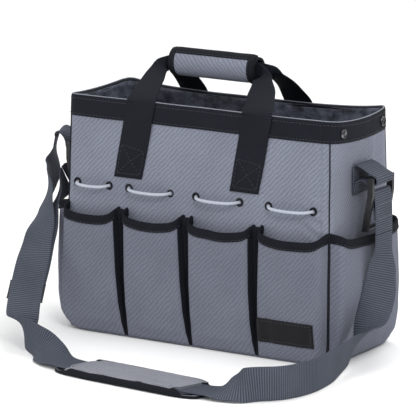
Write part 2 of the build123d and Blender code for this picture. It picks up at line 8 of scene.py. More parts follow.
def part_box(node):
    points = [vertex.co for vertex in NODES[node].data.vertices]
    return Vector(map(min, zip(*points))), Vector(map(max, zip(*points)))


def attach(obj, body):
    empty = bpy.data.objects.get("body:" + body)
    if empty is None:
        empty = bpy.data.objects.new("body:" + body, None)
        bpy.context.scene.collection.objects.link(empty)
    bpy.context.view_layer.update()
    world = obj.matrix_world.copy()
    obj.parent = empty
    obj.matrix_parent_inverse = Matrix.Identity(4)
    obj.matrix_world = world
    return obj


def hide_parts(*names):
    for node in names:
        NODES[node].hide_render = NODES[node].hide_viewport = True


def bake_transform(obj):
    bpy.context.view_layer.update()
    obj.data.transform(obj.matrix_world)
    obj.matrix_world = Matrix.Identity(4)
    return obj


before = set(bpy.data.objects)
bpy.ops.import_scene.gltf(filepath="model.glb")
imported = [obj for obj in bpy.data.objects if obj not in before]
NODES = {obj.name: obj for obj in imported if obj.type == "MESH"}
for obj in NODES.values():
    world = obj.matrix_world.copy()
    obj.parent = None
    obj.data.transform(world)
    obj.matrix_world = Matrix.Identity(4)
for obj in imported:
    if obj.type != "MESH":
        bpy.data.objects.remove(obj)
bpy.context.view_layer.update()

# ---------------------------------------------------------------- measures, in metres

MM = 0.001
WALL = 3.0 * MM
BAND = 1.4 * MM
BAND_HEIGHT = 23.0 * MM
CORNER = 10.0 * MM
HANDLE_WIDTH = 38.0 * MM
STRAP_WIDTH = 38.0 * MM
STRAP_THICKNESS = 2.0 * MM
WEBBING = 1.7 * MM
BINDING_HEIGHT = 9.0 * MM
POCKET_CLOTH = 1.4 * MM


def span_at(node, axis, low, high):
    """Smallest and largest coordinate of a CAD node's vertices between two heights."""
    found = [v.co[axis] for v in NODES[node].data.vertices if low <= v.co.z <= high]
    return min(found), max(found)


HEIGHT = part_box("front_panel")[1][2]
BASE_HALF_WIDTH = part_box("base_panel")[1][0]
BASE_HALF_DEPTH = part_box("base_panel")[1][1]
BAND_LOW = HEIGHT - BAND_HEIGHT
WIDTH_SLOPE = (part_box("rim_band_right")[1][0] - BAND - BASE_HALF_WIDTH) / BAND_LOW
DEPTH_SLOPE = (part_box("rim_band_back")[1][1] - BAND - BASE_HALF_DEPTH) / BAND_LOW


def half_width(z):
    return BASE_HALF_WIDTH + WIDTH_SLOPE * z


def half_depth(z):
    return BASE_HALF_DEPTH + DEPTH_SLOPE * z


BASE_ROUNDING = 26.0 * MM
BASE_ROUNDING_HEIGHT = 30.0 * MM
SIDE_BOW = 5.0 * MM
SIDE_DIP = 4.5 * MM
BACK_DIP = 8.0 * MM


def corner_radius(z):
    """The body's corners are rounder at the base, where the cloth tucks under."""
    return CORNER + BASE_ROUNDING * max(1 - z / BASE_ROUNDING_HEIGHT, 0.0) ** 2


def round_off(s, half, z):
    radius = corner_radius(z)
    over = min(max(abs(s) - (half - radius), 0.0), 0.98 * radius)
    return radius - math.sqrt(radius**2 - over**2)


def side_bow(s, z):
    """How far the slack side panels stand out below the rim, across their depth."""
    share = max(1 - (s / half_depth(z)) ** 2, 0.0)
    return SIDE_BOW * share * smooth(0.2, HEIGHT, z)


def on_front(s, d, z):
    return Vector((s, -half_depth(z) - d + round_off(s, half_width(z), z), z))


def on_back(s, d, z):
    return Vector((s, half_depth(z) + d - round_off(s, half_width(z), z), z))


def on_right(s, d, z):
    return Vector((half_width(z) + d + side_bow(s, z) - round_off(s, half_depth(z), z), s, z))


def on_left(s, d, z):
    return Vector((-half_width(z) - d - side_bow(s, z) + round_off(s, half_depth(z), z), s, z))


def mix(a, b, t):
    return a + (b - a) * t


def smooth(low, high, x):
    t = min(max((x - low) / (high - low), 0.0), 1.0)
    return t * t * (3 - 2 * t)


def ripple(x, y, z, scale, seed):
    """Smooth repeatable noise between about -1 and 1."""
    return noise.noise(Vector((x / scale + seed, y / scale - seed, z / scale + 2.3 * seed)))


# ---------------------------------------------------------------- materials


def new_material(name, rough, sheen=0.0, specular=0.35):
    material = bpy.data.materials.new(name)
    material.use_nodes = True
    shader = material.node_tree.nodes["Principled BSDF"]
    shader.inputs["Roughness"].default_value = rough
    shader.inputs["Sheen Weight"].default_value = sheen
    shader.inputs["Sheen Roughness"].default_value = 0.5
    shader.inputs["Specular IOR Level"].default_value = specular
    return material, material.node_tree, shader


def node(tree, kind, **values):
    made = tree.nodes.new(kind)
    for key, value in values.items():
        if key in made.inputs:
            made.inputs[key].default_value = value
        else:
            setattr(made, key, value)
    return made


def link(tree, source, target):
    tree.links.new(source, target)


def math_node(tree, operation, a, b):
    made = node(tree, "ShaderNodeMath", operation=operation)
    for index, value in enumerate((a, b)):
        if isinstance(value, (int, float)):
            made.inputs[index].default_value = value
        else:
            link(tree, value, made.inputs[index])
    return made.outputs[0]


def weighted(tree, *parts):
    """The sum of textures, each given with its share."""
    total = None
    for value, share in parts:
        term = value if share == 1 else math_node(tree, "MULTIPLY", value, share)
        total = term if total is None else math_node(tree, "ADD", total, term)
    return total


def coordinates(tree, use_uv):
    source = node(tree, "ShaderNodeTexCoord")
    return source.outputs["UV" if use_uv else "Object"]


def waves(tree, where, direction, pitch, distortion=0.0, profile="SIN"):
    made = node(tree, "ShaderNodeTexWave", wave_type="BANDS", bands_direction=direction, wave_profile=profile)
    made.inputs["Scale"].default_value = math.pi / (10 * pitch)
    made.inputs["Distortion"].default_value = distortion
    link(tree, where, made.inputs["Vector"])
    return made.outputs["Fac"]


def grain(tree, where, scale, detail=2.0, rough=0.5):
    made = node(tree, "ShaderNodeTexNoise")
    made.inputs["Scale"].default_value = scale
    made.inputs["Detail"].default_value = detail
    made.inputs["Roughness"].default_value = rough
    link(tree, where, made.inputs["Vector"])
    return made.outputs["Fac"]


def ramp(tree, factor, dark, light, low=0.0, high=1.0):
    made = node(tree, "ShaderNodeValToRGB")
    made.color_ramp.elements[0].position = low
    made.color_ramp.elements[0].color = (*dark, 1)
    made.color_ramp.elements[1].position = high
    made.color_ramp.elements[1].color = (*light, 1)
    link(tree, factor, made.inputs["Fac"])
    return made.outputs["Color"]


def bump(tree, shader, height, distance, strength=1.0):
    made = node(tree, "ShaderNodeBump")
    made.inputs["Strength"].default_value = strength
    made.inputs["Distance"].default_value = distance
    link(tree, height, made.inputs["Height"])
    link(tree, made.outputs["Normal"], shader.inputs["Normal"])


def multiply_colour(tree, a, b, factor=1.0):
    made = node(tree, "ShaderNodeMix", data_type="RGBA", blend_type="MULTIPLY")
    made.inputs[0].default_value = factor
    link(tree, a, made.inputs[6])
    link(tree, b, made.inputs[7])
    return made.outputs[2]


def oxford_cloth(name, dark, light, rough=0.8, use_uv=True, sheen=0.05):
    """Coated plain-weave cloth: crossed yarns, a faint diagonal shimmer and soft soiling."""
    material, tree, shader = new_material(name, rough, sheen=sheen, specular=0.2)
    where = coordinates(tree, use_uv)
    weft = waves(tree, where, "X", 0.9 * MM, 0.6)
    warp = waves(tree, where, "Y", 0.9 * MM, 0.6)
    weave = math_node(tree, "MULTIPLY", weft, warp)
    twill = waves(tree, where, "DIAGONAL", 2.9 * MM, 3.5)
    flecks = grain(tree, where, 420.0, 2.0, 0.7)
    clouds = grain(tree, where, 14.0, 3.0, 0.55)
    tone = weighted(tree, (weave, 0.35), (twill, 0.34), (flecks, 0.5))
    colour = ramp(tree, tone, dark, light, 0.12, 0.85)
    shade = ramp(tree, clouds, (0.86, 0.86, 0.87), (1.0, 1.0, 1.0), 0.3, 0.62)
    link(tree, multiply_colour(tree, colour, shade), shader.inputs["Base Color"])
    height = weighted(tree, (weave, 1), (flecks, 0.6))
    bump(tree, shader, height, 0.22 * MM, 0.7)
    return material


def ribbed_webbing(name, dark, light, pitch, rough=0.75, sheen=0.0, use_uv=True):
    """Woven webbing: ribs across its length, with fine yarns running along it."""
    material, tree, shader = new_material(name, rough, sheen=sheen, specular=0.15)
    where = coordinates(tree, use_uv)
    ribs = waves(tree, where, "Y", pitch, 0.5)
    yarns = waves(tree, where, "X", 1.1 * MM, 1.2)
    fuzz = grain(tree, where, 600.0, 2.0, 0.7)
    clouds = grain(tree, where, 22.0, 2.0, 0.5)
    tone = weighted(tree, (ribs, 0.5), (yarns, 0.2), (fuzz, 0.35))
    colour = ramp(tree, tone, dark, light, 0.15, 0.9)
    shade = ramp(tree, clouds, (0.82, 0.82, 0.84), (1.0, 1.0, 1.0), 0.3, 0.65)
    link(tree, multiply_colour(tree, colour, shade), shader.inputs["Base Color"])
    height = weighted(tree, (ribs, 1), (yarns, 0.35))
    bump(tree, shader, height, 0.35 * MM, 0.8)
    return material


def coated_lining(name, dark, light):
    """Thin coated lining: crinkled, its ridges painted lighter as painted highlight and its hollows painted
    darker as painted shade.
    """
    material, tree, shader = new_material(name, 0.55, sheen=0.0, specular=0.35)
    where = coordinates(tree, True)
    crinkle = grain(tree, where, 60.0, 5.0, 0.62)
    weave = waves(tree, where, "X", 0.7 * MM, 1.0)
    # Painted light: the colour follows the crinkle that also makes the bump, lighter on the ridges and darker
    # in the hollows.
    colour = ramp(tree, crinkle, dark, light, 0.36, 0.66)
    link(tree, colour, shader.inputs["Base Color"])
    height = weighted(tree, (crinkle, 2.4), (weave, 0.1))
    bump(tree, shader, height, 1.6 * MM, 0.8)
    return material


def moulded_plastic(name, colour, rough=0.38):
    material, tree, shader = new_material(name, rough, specular=0.35)
    where = coordinates(tree, False)
    spots = grain(tree, where, 900.0, 2.0)
    marks = grain(tree, where, 60.0, 3.0)
    lighter = tuple(c * 1.8 + 0.01 for c in colour)
    link(tree, ramp(tree, marks, colour, lighter, 0.35, 0.75), shader.inputs["Base Color"])
    bump(tree, shader, spots, 0.08 * MM, 0.5)
    return material


def worn_metal(name, dark, light, rough=0.35):
    material, tree, shader = new_material(name, rough, specular=0.5)
    shader.inputs["Metallic"].default_value = 0.85
    where = coordinates(tree, False)
    wear = grain(tree, where, 240.0, 4.0, 0.6)
    link(tree, ramp(tree, wear, dark, light, 0.42, 0.72), shader.inputs["Base Color"])
    bump(tree, shader, wear, 0.05 * MM, 0.4)
    return material


def braided_cord(name, dark, light):
    """Elastic cord: a braid of yarns crossing both ways round it."""
    material, tree, shader = new_material(name, 0.6, sheen=0.15)
    where = coordinates(tree, False)
    one = waves(tree, where, "DIAGONAL", 1.1 * MM, 1.0)
    two = waves(tree, where, "X", 0.9 * MM, 0.8)
    tone = weighted(tree, (one, 0.6), (two, 0.4))
    link(tree, ramp(tree, tone, dark, light, 0.1, 0.8), shader.inputs["Base Color"])
    bump(tree, shader, tone, 0.2 * MM, 0.6)
    return material


def thread(name, colour):
    material, tree, shader = new_material(name, 0.6, sheen=0.1)
    where = coordinates(tree, False)
    twist = waves(tree, where, "DIAGONAL", 0.5 * MM)
    lighter = tuple(c * 1.5 for c in colour)
    link(tree, ramp(tree, twist, colour, lighter), shader.inputs["Base Color"])
    return material


def moulded_label(name):
    material, tree, shader = new_material(name, 0.55, specular=0.2)
    where = coordinates(tree, True)
    speckle = grain(tree, where, 700.0, 2.0)
    link(tree, ramp(tree, speckle, (0.002, 0.002, 0.003), (0.007, 0.007, 0.009)), shader.inputs["Base Color"])
    bump(tree, shader, speckle, 0.1 * MM, 0.5)
    return material


CLOTH = oxford_cloth("grey_oxford", (0.105, 0.115, 0.15), (0.225, 0.24, 0.295))
# The pockets use the body's grey oxford painted darker: painted shade on the lower front of the bag.
SHADED_POCKET_GREY = oxford_cloth("pocket_oxford_painted_shade", (0.085, 0.093, 0.122), (0.165, 0.177, 0.222))
PAD_GREY = oxford_cloth("pad_oxford", (0.125, 0.13, 0.152), (0.25, 0.26, 0.3))
BASE_CLOTH = oxford_cloth("base_oxford", (0.05, 0.055, 0.07), (0.11, 0.12, 0.15))
# Black cloth for the grip, corner seams and pad underside; on the pocket walls at the dividers and on the
# gussets it also stands for painted shade.
BLACK_CLOTH_AND_SHADE = oxford_cloth("black_oxford_and_shade", (0.002, 0.0025, 0.005), (0.008, 0.009, 0.015), sheen=0.0)
BLACK_WEB = ribbed_webbing("black_webbing", (0.0015, 0.002, 0.004), (0.011, 0.013, 0.021), 1.5 * MM)
BLACK_TAPE = ribbed_webbing("black_tape", (0.001, 0.0015, 0.003), (0.008, 0.01, 0.016), 1.0 * MM)
STRAP_WEB = ribbed_webbing("strap_webbing", (0.014, 0.017, 0.025), (0.1, 0.113, 0.145), 2.6 * MM)
LINING = coated_lining("dark_lining", (0.008, 0.01, 0.018), (0.085, 0.095, 0.13))
PLASTIC = moulded_plastic("black_plastic", (0.004, 0.004, 0.006))
STUD = worn_metal("stud_metal", (0.02, 0.02, 0.024), (0.3, 0.3, 0.31))
EYELET = worn_metal("eyelet_metal", (0.004, 0.004, 0.006), (0.03, 0.03, 0.034), 0.42)
ELASTIC = braided_cord("elastic_cord", (0.2, 0.22, 0.27), (0.5, 0.53, 0.6))
# Pale grey tape: real piping at the pad's cover ends, and a painted highlight as the cord on the rim's top
# edge.
EDGE_TAPE_AND_HIGHLIGHT = ribbed_webbing("edge_tape_and_highlight", (0.16, 0.17, 0.2), (0.34, 0.36, 0.4), 1.0 * MM)
GREY_THREAD = thread("grey_thread", (0.1, 0.105, 0.125))
BLACK_THREAD = thread("black_thread", (0.009, 0.01, 0.015))
LABEL = moulded_label("label_rubber")

# ---------------------------------------------------------------- mesh helpers


def make_object(name, verts, faces, uvs, material, body):
    mesh = bpy.data.meshes.new(name)
    mesh.from_pydata([tuple(v) for v in verts], [], faces)
    shape = bmesh.new()
    shape.from_mesh(mesh)
    bmesh.ops.recalc_face_normals(shape, faces=shape.faces[:])
    shape.to_mesh(mesh)
    shape.free()
    mesh.update()
    if uvs:
        layer = mesh.uv_layers.new(name="UVMap")
        for loop in mesh.loops:
            u, v = uvs[loop.vertex_index]
            layer.data[loop.index].uv = (-u, v)
    for polygon in mesh.polygons:
        polygon.use_smooth = True
    mesh.materials.append(material)
    made = bpy.data.objects.new(name, mesh)
    bpy.context.scene.collection.objects.link(made)
    if body:
        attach(made, body)
    return made


def grid_normals(rows, closed):
    count, width = len(rows), len(rows[0])
    normals = []
    for i in range(count):
        line = []
        for j in range(width):
            below, above = rows[max(i - 1, 0)][j], rows[min(i + 1, count - 1)][j]
            if closed:
                left, right = rows[i][j - 1], rows[i][(j + 1) % width]
            else:
                left, right = rows[i][max(j - 1, 0)], rows[i][min(j + 1, width - 1)]
            line.append((right - left).cross(above - below).normalized())
        normals.append(line)
    return normals


def sheet_solid(name, rows, thickness, material, body, closed=False, outer=0.5):
    """A closed skin of even thickness round a grid of points; outer is the share on the normal side."""
    normals = grid_normals(rows, closed)
    count, width = len(rows), len(rows[0])
    verts, uvs = [], []
    across = [0.0] * width
    middle = rows[count // 2]
    for j in range(1, width):
        across[j] = across[j - 1] + (middle[j] - middle[j - 1]).length
    for share in (outer, outer - 1):
        rise = 0.0
        for i in range(count):
            if i:
                rise += (rows[i][width // 2] - rows[i - 1][width // 2]).length
            for j in range(width):
                verts.append(rows[i][j] + normals[i][j] * (thickness * share))
                uvs.append((across[j], rise))
    faces = []
    size = count * width
    columns = width if closed else width - 1
    for i in range(count - 1):
        for j in range(columns):
            k = (j + 1) % width
            a, b, c, d = i * width + j, i * width + k, (i + 1) * width + k, (i + 1) * width + j
            faces.append((a, b, c, d))
            faces.append((size + d, size + c, size + b, size + a))
    for j in range(columns):
        k = (j + 1) % width
        faces.append((j, size + j, size + k, k))
        top = (count - 1) * width
        faces.append((top + k, size + top + k, size + top + j, top + j))
    if not closed:
        for i in range(count - 1):
            a, b = i * width, (i + 1) * width
            faces.append((a, b, size + b, size + a))
            c, d = a + width - 1, b + width - 1
            faces.append((d, c, size + c, size + d))
    return make_object(name, verts, faces, uvs, material, body)


def nurbs_line(points, steps=14):
    """Points along the smooth line that a route's points control, read from the spline itself."""
    curve = bpy.data.curves.new("route", "CURVE")
    curve.dimensions = "3D"
    curve.resolution_u = steps
    spline = curve.splines.new("NURBS")
    spline.points.add(len(points) - 1)
    for place, point in zip(spline.points, points):
        place.co = (*point, 1)
    spline.order_u = 3
    spline.use_endpoint_u = True
    holder = bpy.data.objects.new("route", curve)
    mesh = bpy.data.meshes.new_from_object(holder)
    line = [v.co.copy() for v in mesh.vertices]
    bpy.data.objects.remove(holder)
    bpy.data.meshes.remove(mesh)
    return line


def resample(line, step):
    """Evenly spaced points along a line, its two ends kept."""
    marks = [0.0]
    for a, b in zip(line, line[1:]):
        marks.append(marks[-1] + (b - a).length)
    total = marks[-1]
    count = max(int(round(total / step)), 2)
    points, index = [], 0
    for i in range(count + 1):
        target = total * i / count
        while index < len(marks) - 2 and marks[index + 1] < target:
            index += 1
        run = marks[index + 1] - marks[index]
        share = (target - marks[index]) / run if run else 0.0
        points.append(line[index].lerp(line[index + 1], share))
    return points


def line_length(line):
    return sum((b - a).length for a, b in zip(line, line[1:]))


def spread_values(line, anchors, values):
    """A value for each point of a line, eased between the points nearest the anchors."""
    places = []
    start = 0
    for anchor in anchors:
        best = min(range(start, len(line)), key=lambda i: (line[i] - anchor).length)
        places.append(best)
        start = best
    places[0], places[-1] = 0, len(line) - 1
    result = []
    segment = 0
    for i in range(len(line)):
        while segment < len(places) - 2 and i > places[segment + 1]:
            segment += 1
        low, high = places[segment], places[segment + 1]
        t = smooth(low, high, i) if high > low else 0.0
        result.append(mix(values[segment], values[segment + 1], t))
    return result


# A strap's cross-section with rounded edges, in half widths and half thicknesses.
RING = (
    (-1, -0.3), (-1, 0.3), (-0.96, 0.85), (-0.8, 1), (-0.4, 1), (0, 1), (0.4, 1), (0.8, 1), (0.96, 0.85),
    (1, 0.3), (1, -0.3), (0.96, -0.85), (0.8, -1), (0.4, -1), (0, -1), (-0.4, -1), (-0.8, -1), (-0.96, -0.85),
)
SHEARED_POINTS = 12


def ribbon_rings(line, across, widths, thickness, sheared=False):
    """Cross-sections of a flat strap with rounded edges, one at each point of its line."""
    rings, sides, tops = [], [], []
    for i, centre in enumerate(line):
        along = (line[min(i + 1, len(line) - 1)] - line[max(i - 1, 0)]).normalized()
        side = (across[i] - along * across[i].dot(along)).normalized()
        top = side.cross(along).normalized()
        from_end = min(i, len(line) - 1 - i)
        if sheared and from_end < SHEARED_POINTS:
            level = Vector((side.x, 0, 0)).normalized() if side.x else side
            held = 1 - smooth(SHEARED_POINTS, 4, from_end)
            side = (level - along * (level.dot(along) * held)).normalized()
        half, thick = widths[i] / 2, thickness / 2
        ring = [centre + side * (x * half) + top * (y * thick) for x, y in RING]
        rings.append(ring)
        sides.append(side)
        tops.append(top)
    return rings, sides, tops


def tube_object(name, rings, line, width, material, body):
    """A closed skin through a row of rings, with its length up the UV map."""
    size = len(rings[0])
    verts = [point for ring in rings for point in ring]
    uvs, run = [], 0.0
    for i in range(len(rings)):
        if i:
            run += (line[i] - line[i - 1]).length
        if size == len(RING):
            uvs.extend((x * width / 2, run) for x, _ in RING)
        else:
            uvs.extend((width * j / size, run) for j in range(size))
    faces = [tuple(range(size)), tuple(reversed(range(len(verts) - size, len(verts))))]
    for i in range(len(rings) - 1):
        for j in range(size):
            k = (j + 1) % size
            faces.append((i * size + k, i * size + j, (i + 1) * size + j, (i + 1) * size + k))
    return make_object(name, verts, faces, uvs, material, body)


def ribbon(name, line, across, widths, thickness, material, body):
    rings, _, _ = ribbon_rings(line, across, widths, thickness)
    return tube_object(name, rings, line, max(widths), material, body)


def round_tube(name, line, radius, material, body, sides=10):
    """A tube along a line, carried along without twisting."""
    along = (line[1] - line[0]).normalized()
    first = along.cross(Vector((0, 0, 1)))
    if first.length < 0.1:
        first = along.cross(Vector((1, 0, 0)))
    rings = []
    for i, centre in enumerate(line):
        along = (line[min(i + 1, len(line) - 1)] - line[max(i - 1, 0)]).normalized()
        first = (first - along * first.dot(along)).normalized()
        second = along.cross(first)
        ring = []
        for j in range(sides):
            angle = 2 * math.pi * j / sides
            ring.append(centre + first * (radius * math.cos(angle)) + second * (radius * math.sin(angle)))
        rings.append(ring)
    return tube_object(name, rings, line, 2 * math.pi * radius, material, body)


def turned(name, profile, planes, material, body, sides=28):
    """Copies of a lathe-turned profile, each on a plane given as (centre, axis)."""
    verts, faces = [], []
    for centre, axis in planes:
        axis = axis.normalized()
        first = axis.cross(Vector((0, 0, 1)) if abs(axis.z) < 0.9 else Vector((1, 0, 0))).normalized()
        second = axis.cross(first)
        start = len(verts)
        for radius, height in profile:
            for j in range(sides):
                angle = 2 * math.pi * j / sides
                spoke = first * math.cos(angle) + second * math.sin(angle)
                verts.append(centre + spoke * radius + axis * height)
        for i in range(len(profile)):
            n = (i + 1) % len(profile)
            for j in range(sides):
                k = (j + 1) % sides
                a, b = start + i * sides, start + n * sides
                faces.append((a + j, a + k, b + k, b + j))
    return make_object(name, verts, faces, None, material, body)


STITCH_LENGTH = 2.9 * MM
STITCH_PITCH = 4.3 * MM
STITCH_RADIUS = 0.36 * MM


def stitches(name, rows, material, body):
    """Raised thread stitches along lines, each given as a list of (point, outward direction)."""
    verts, faces = [], []
    stations = ((-0.5, 0.35), (-0.3, 1.0), (0.3, 1.0), (0.5, 0.35))
    for row in rows:
        points = [p for p, _ in row]
        total = line_length(points)
        dense = resample(points, STITCH_PITCH / 6)
        count = int(total / STITCH_PITCH)
        for n in range(count):
            position = (n + 0.5) / count
            index = int(position * (len(dense) - 1))
            centre = dense[index]
            along = (dense[min(index + 2, len(dense) - 1)] - dense[max(index - 2, 0)]).normalized()
            out = row[int(position * (len(row) - 1))][1].normalized()
            side = along.cross(out).normalized()
            start = len(verts)
            for place, swell in stations:
                radius = STITCH_RADIUS * swell
                middle = centre + along * (place * STITCH_LENGTH)
                for x, y in ((1, -0.2), (0.7, 0.8), (-0.7, 0.8), (-1, -0.2)):
                    verts.append(middle + side * (x * radius) + out * (y * radius))
            for i in range(3):
                for j in range(4):
                    a, b = start + i * 4 + j, start + i * 4 + (j + 1) % 4
                    faces.append((a, b, b + 4, a + 4))
            faces.append((start + 3, start + 2, start + 1, start))
            faces.append((start + 12, start + 13, start + 14, start + 15))
    return make_object(name, verts, faces, None, material, body)


# ---------------------------------------------------------------- body shell


def outline_stations():
    """Stations round the body: (face, share along it, corner angle) walked anticlockwise from above."""
    stations = []
    for turn, (sx, sy) in enumerate(((1, -1), (1, 1), (-1, 1), (-1, -1))):
        start_angle = -90 + 90 * turn
        for k in range(7):
            stations.append(("corner", sx, sy, math.radians(start_angle + 15 * k)))
        steps = 46 if turn in (0, 2) else 110
        for k in range(1, steps):
            stations.append(("side", turn, k / steps))
    return stations


STATIONS = outline_stations()


def outline_point(station, z, grow):
    """A point of the body's round-cornered outline at a height, grown outward."""
    rounding = corner_radius(z)
    wide, deep = half_width(z) - rounding, half_depth(z) - rounding
    radius = rounding + grow
    if station[0] == "corner":
        _, sx, sy, angle = station
        return Vector((sx * wide + radius * math.cos(angle), sy * deep + radius * math.sin(angle), z))
    _, turn, share = station
    bow = side_bow(mix(-deep, deep, share), z)
    if turn == 0:
        return Vector((wide + radius + bow, mix(-deep, deep, share), z))
    if turn == 1:
        return Vector((mix(wide, -wide, share), deep + radius, z))
    if turn == 2:
        return Vector((-wide - radius - bow, mix(deep, -deep, share), z))
    return Vector((mix(-wide, wide, share), -deep - radius, z))


def rim_dip(point, z):
    """The rim sags between the corners of the narrow sides, and along the back."""
    near_side = smooth(half_width(HEIGHT) - 22 * MM, half_width(HEIGHT) - 6 * MM, abs(point.x))
    share = max(1 - (point.y / half_depth(HEIGHT)) ** 2, 0.0)
    dip = SIDE_DIP * near_side * share * smooth(0.2, HEIGHT, z)
    along = max(1 - (point.x / half_width(HEIGHT)) ** 4, 0.0)
    near_back = smooth(half_depth(HEIGHT) - 24 * MM, half_depth(HEIGHT) - 4 * MM, point.y)
    return dip + BACK_DIP * near_back * along * smooth(0.19, HEIGHT, z)


def wall_relief(point, station):
    """How far the cloth wall stands in or out of its flat shape: slack, folds and pulls."""
    x, y, z = point
    slack = 0.9 * MM * ripple(x, y, z, 0.085, 3.1) + 0.35 * MM * ripple(x, y, z, 0.03, 7.7)
    if station[0] == "side" and station[1] in (0, 2):
        across = math.sin(math.pi * station[2])
        folds = math.sin(station[2] * 27 + 0.6) * smooth(0.35, 0.8, station[2]) * (0.3 + across)
        slack += 2.3 * MM * folds * smooth(0.17, BAND_LOW, z)
        slack -= 1.4 * MM * across * smooth(0.05, 0.16, z)
    if station[0] == "side" and station[1] == 3:
        pull = math.exp(-(((z - 0.172) / 0.012) ** 2))
        slack += 0.5 * MM * pull * math.sin(x * 160)
        toward_seam = smooth(0.125, 0.165, x) * math.exp(-(((z - 0.163) / 0.028) ** 2))
        slack += 1.3 * MM * toward_seam * math.sin((z + 0.55 * x) * 420)
    hold = smooth(0.0, 0.03, z) * (1 - 0.75 * smooth(BAND_LOW - 0.012, BAND_LOW, z))
    return slack * hold


def body_rows(low, high, count, grow, relief):
    rows = []
    for i in range(count + 1):
        z = mix(low, high, i / count)
        row = []
        for station in STATIONS:
            flat = outline_point(station, z, grow)
            out = outline_point(station, z, grow + 1 * MM) - flat
            point = flat + out.normalized() * (wall_relief(flat, station) * relief)
            point.z -= rim_dip(flat, z)
            row.append(point)
        rows.append(row)
    return rows


def build_base():
    """The base cloth, closed under the bag inside the rounded corners."""
    rows = []
    for inset in (1.0, 0.96, 0.85, 0.6, 0.3, 0.02):
        row = []
        for station in STATIONS:
            point = outline_point(station, 0.6 * MM, -1.0 * MM)
            z = 1.2 * MM + 0.2 * MM * ripple(point.x, point.y, inset, 0.05, 1.0)
            row.append(Vector((point.x * inset, point.y * inset, z)))
        rows.append(row)
    base = sheet_solid("bag_base", rows, 1.8 * MM, BASE_CLOTH, "bag", closed=True, outer=0.5)
    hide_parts("base_panel")


def build_board():
    """The stiffener board on the base cloth, cut with round corners."""
    low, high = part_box("base_board")
    rows = []
    for inset in (0.02, 0.4, 0.8, 1.0, 1.0, 0.8, 0.4, 0.02):
        z = high[2] if len(rows) < 4 else low[2] + 0.2 * MM
        row = []
        for station in STATIONS:
            point = outline_point(station, 2.0 * MM, -8.0 * MM)
            row.append((point.x * inset, point.y * inset, z))
        rows.append(row)
    verts = [v for row in rows for v in row]
    around = len(STATIONS)
    faces = []
    for i in range(len(rows) - 1):
        for j in range(around):
            k = (j + 1) % around
            faces.append((i * around + j, i * around + k, (i + 1) * around + k, (i + 1) * around + j))
    faces.append(tuple(range(around)))
    faces.append(tuple(range((len(rows) - 1) * around, len(rows) * around))[::-1])
    board = make_object("stiffener_board", verts, faces, None, PLASTIC, "bag")
    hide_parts("base_board")


def build_shell():
    shell = sheet_solid(
        "bag_shell", body_rows(0.6 * MM, HEIGHT - 0.5 * MM, 86, 0.0, 1.0), 2.2 * MM, CLOTH, "bag",
        closed=True, outer=0.0,
    )
    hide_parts("front_panel", "back_panel", "left_side_panel", "right_side_panel")


def build_lining():
    """The loose lining: it hangs from the rim, puckers and covers the stiffened base."""
    rows = []
    steps = 60
    top, floor = HEIGHT - 0.5 * MM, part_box("lining")[0][2] + 1.2 * MM
    for i in range(steps + 1):
        z = mix(floor, top, i / steps)
        row = []
        for station in STATIONS:
            flat = outline_point(station, z, -WALL - 0.6 * MM)
            out = (outline_point(station, z, 0) - flat).normalized()
            pucker = 0.5 + 0.5 * ripple(flat.x, flat.y, z * 0.6, 0.022, 11.0)
            sag = 0.5 + 0.5 * ripple(flat.x, flat.y, z, 0.06, 5.0)
            held = 1 - 0.85 * smooth(top - 0.03, top, z)
            point = flat - out * ((1.3 * MM * pucker + 1.6 * MM * sag) * held)
            point.z -= rim_dip(flat, z)
            row.append(point)
        rows.append(row)
    walls = sheet_solid("lining_walls", rows, 0.6 * MM, LINING, "bag", closed=True, outer=0.5)
    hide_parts("lining")
    wide, deep = half_width(0) - WALL - 8 * MM, half_depth(0) - WALL - 8 * MM
    grid = []
    for i in range(29):
        y = mix(-deep, deep, i / 28)
        xs = [mix(-wide, wide, j / 60) for j in range(61)]
        grid.append([Vector((x, y, floor + 1.0 * MM * ripple(x, y, 0, 0.05, 2.0))) for x in xs])
    base = sheet_solid("lining_floor", grid, 0.8 * MM, LINING, "bag")


def rim_frame(station, level, grow):
    """A point on the rim at rest, its outward direction, and how far the binding waves out and up."""
    flat = outline_point(station, level, grow)
    out = (outline_point(station, level, grow + 1 * MM) - flat).normalized()
    wave = 0.5 * MM * ripple(flat.x, flat.y, 0, 0.05, 1.7) + wall_relief(flat, station) * 0.3
    lift = 0.7 * MM * ripple(flat.x, flat.y, 0, 0.07, 9.2) - rim_dip(flat, level)
    return flat, out, wave, lift


def band_rows(inner_drop):
    """Rows of the rim binding: up the outside, over the rim and down the inside."""
    profile = [(BAND_LOW, 0.7 * MM), (BAND_LOW + 0.3 * MM, 1.0 * MM)]
    profile += [(mix(BAND_LOW, HEIGHT, t), 1.0 * MM) for t in (0.15, 0.35, 0.55, 0.75, 0.92)]
    profile += [(HEIGHT + 0.6 * MM, 0.6 * MM), (HEIGHT + 0.9 * MM, -0.6 * MM), (HEIGHT + 0.8 * MM, -2.0 * MM)]
    profile += [(HEIGHT + 0.1 * MM, -3.2 * MM), (HEIGHT - inner_drop, -3.5 * MM)]
    rows = []
    for z, grow in profile:
        row = []
        for station in STATIONS:
            flat, out, wave, lift = rim_frame(station, min(z, HEIGHT), grow)
            point = flat + out * wave
            point.z = z + lift
            row.append(point)
        rows.append(row)
    return rows


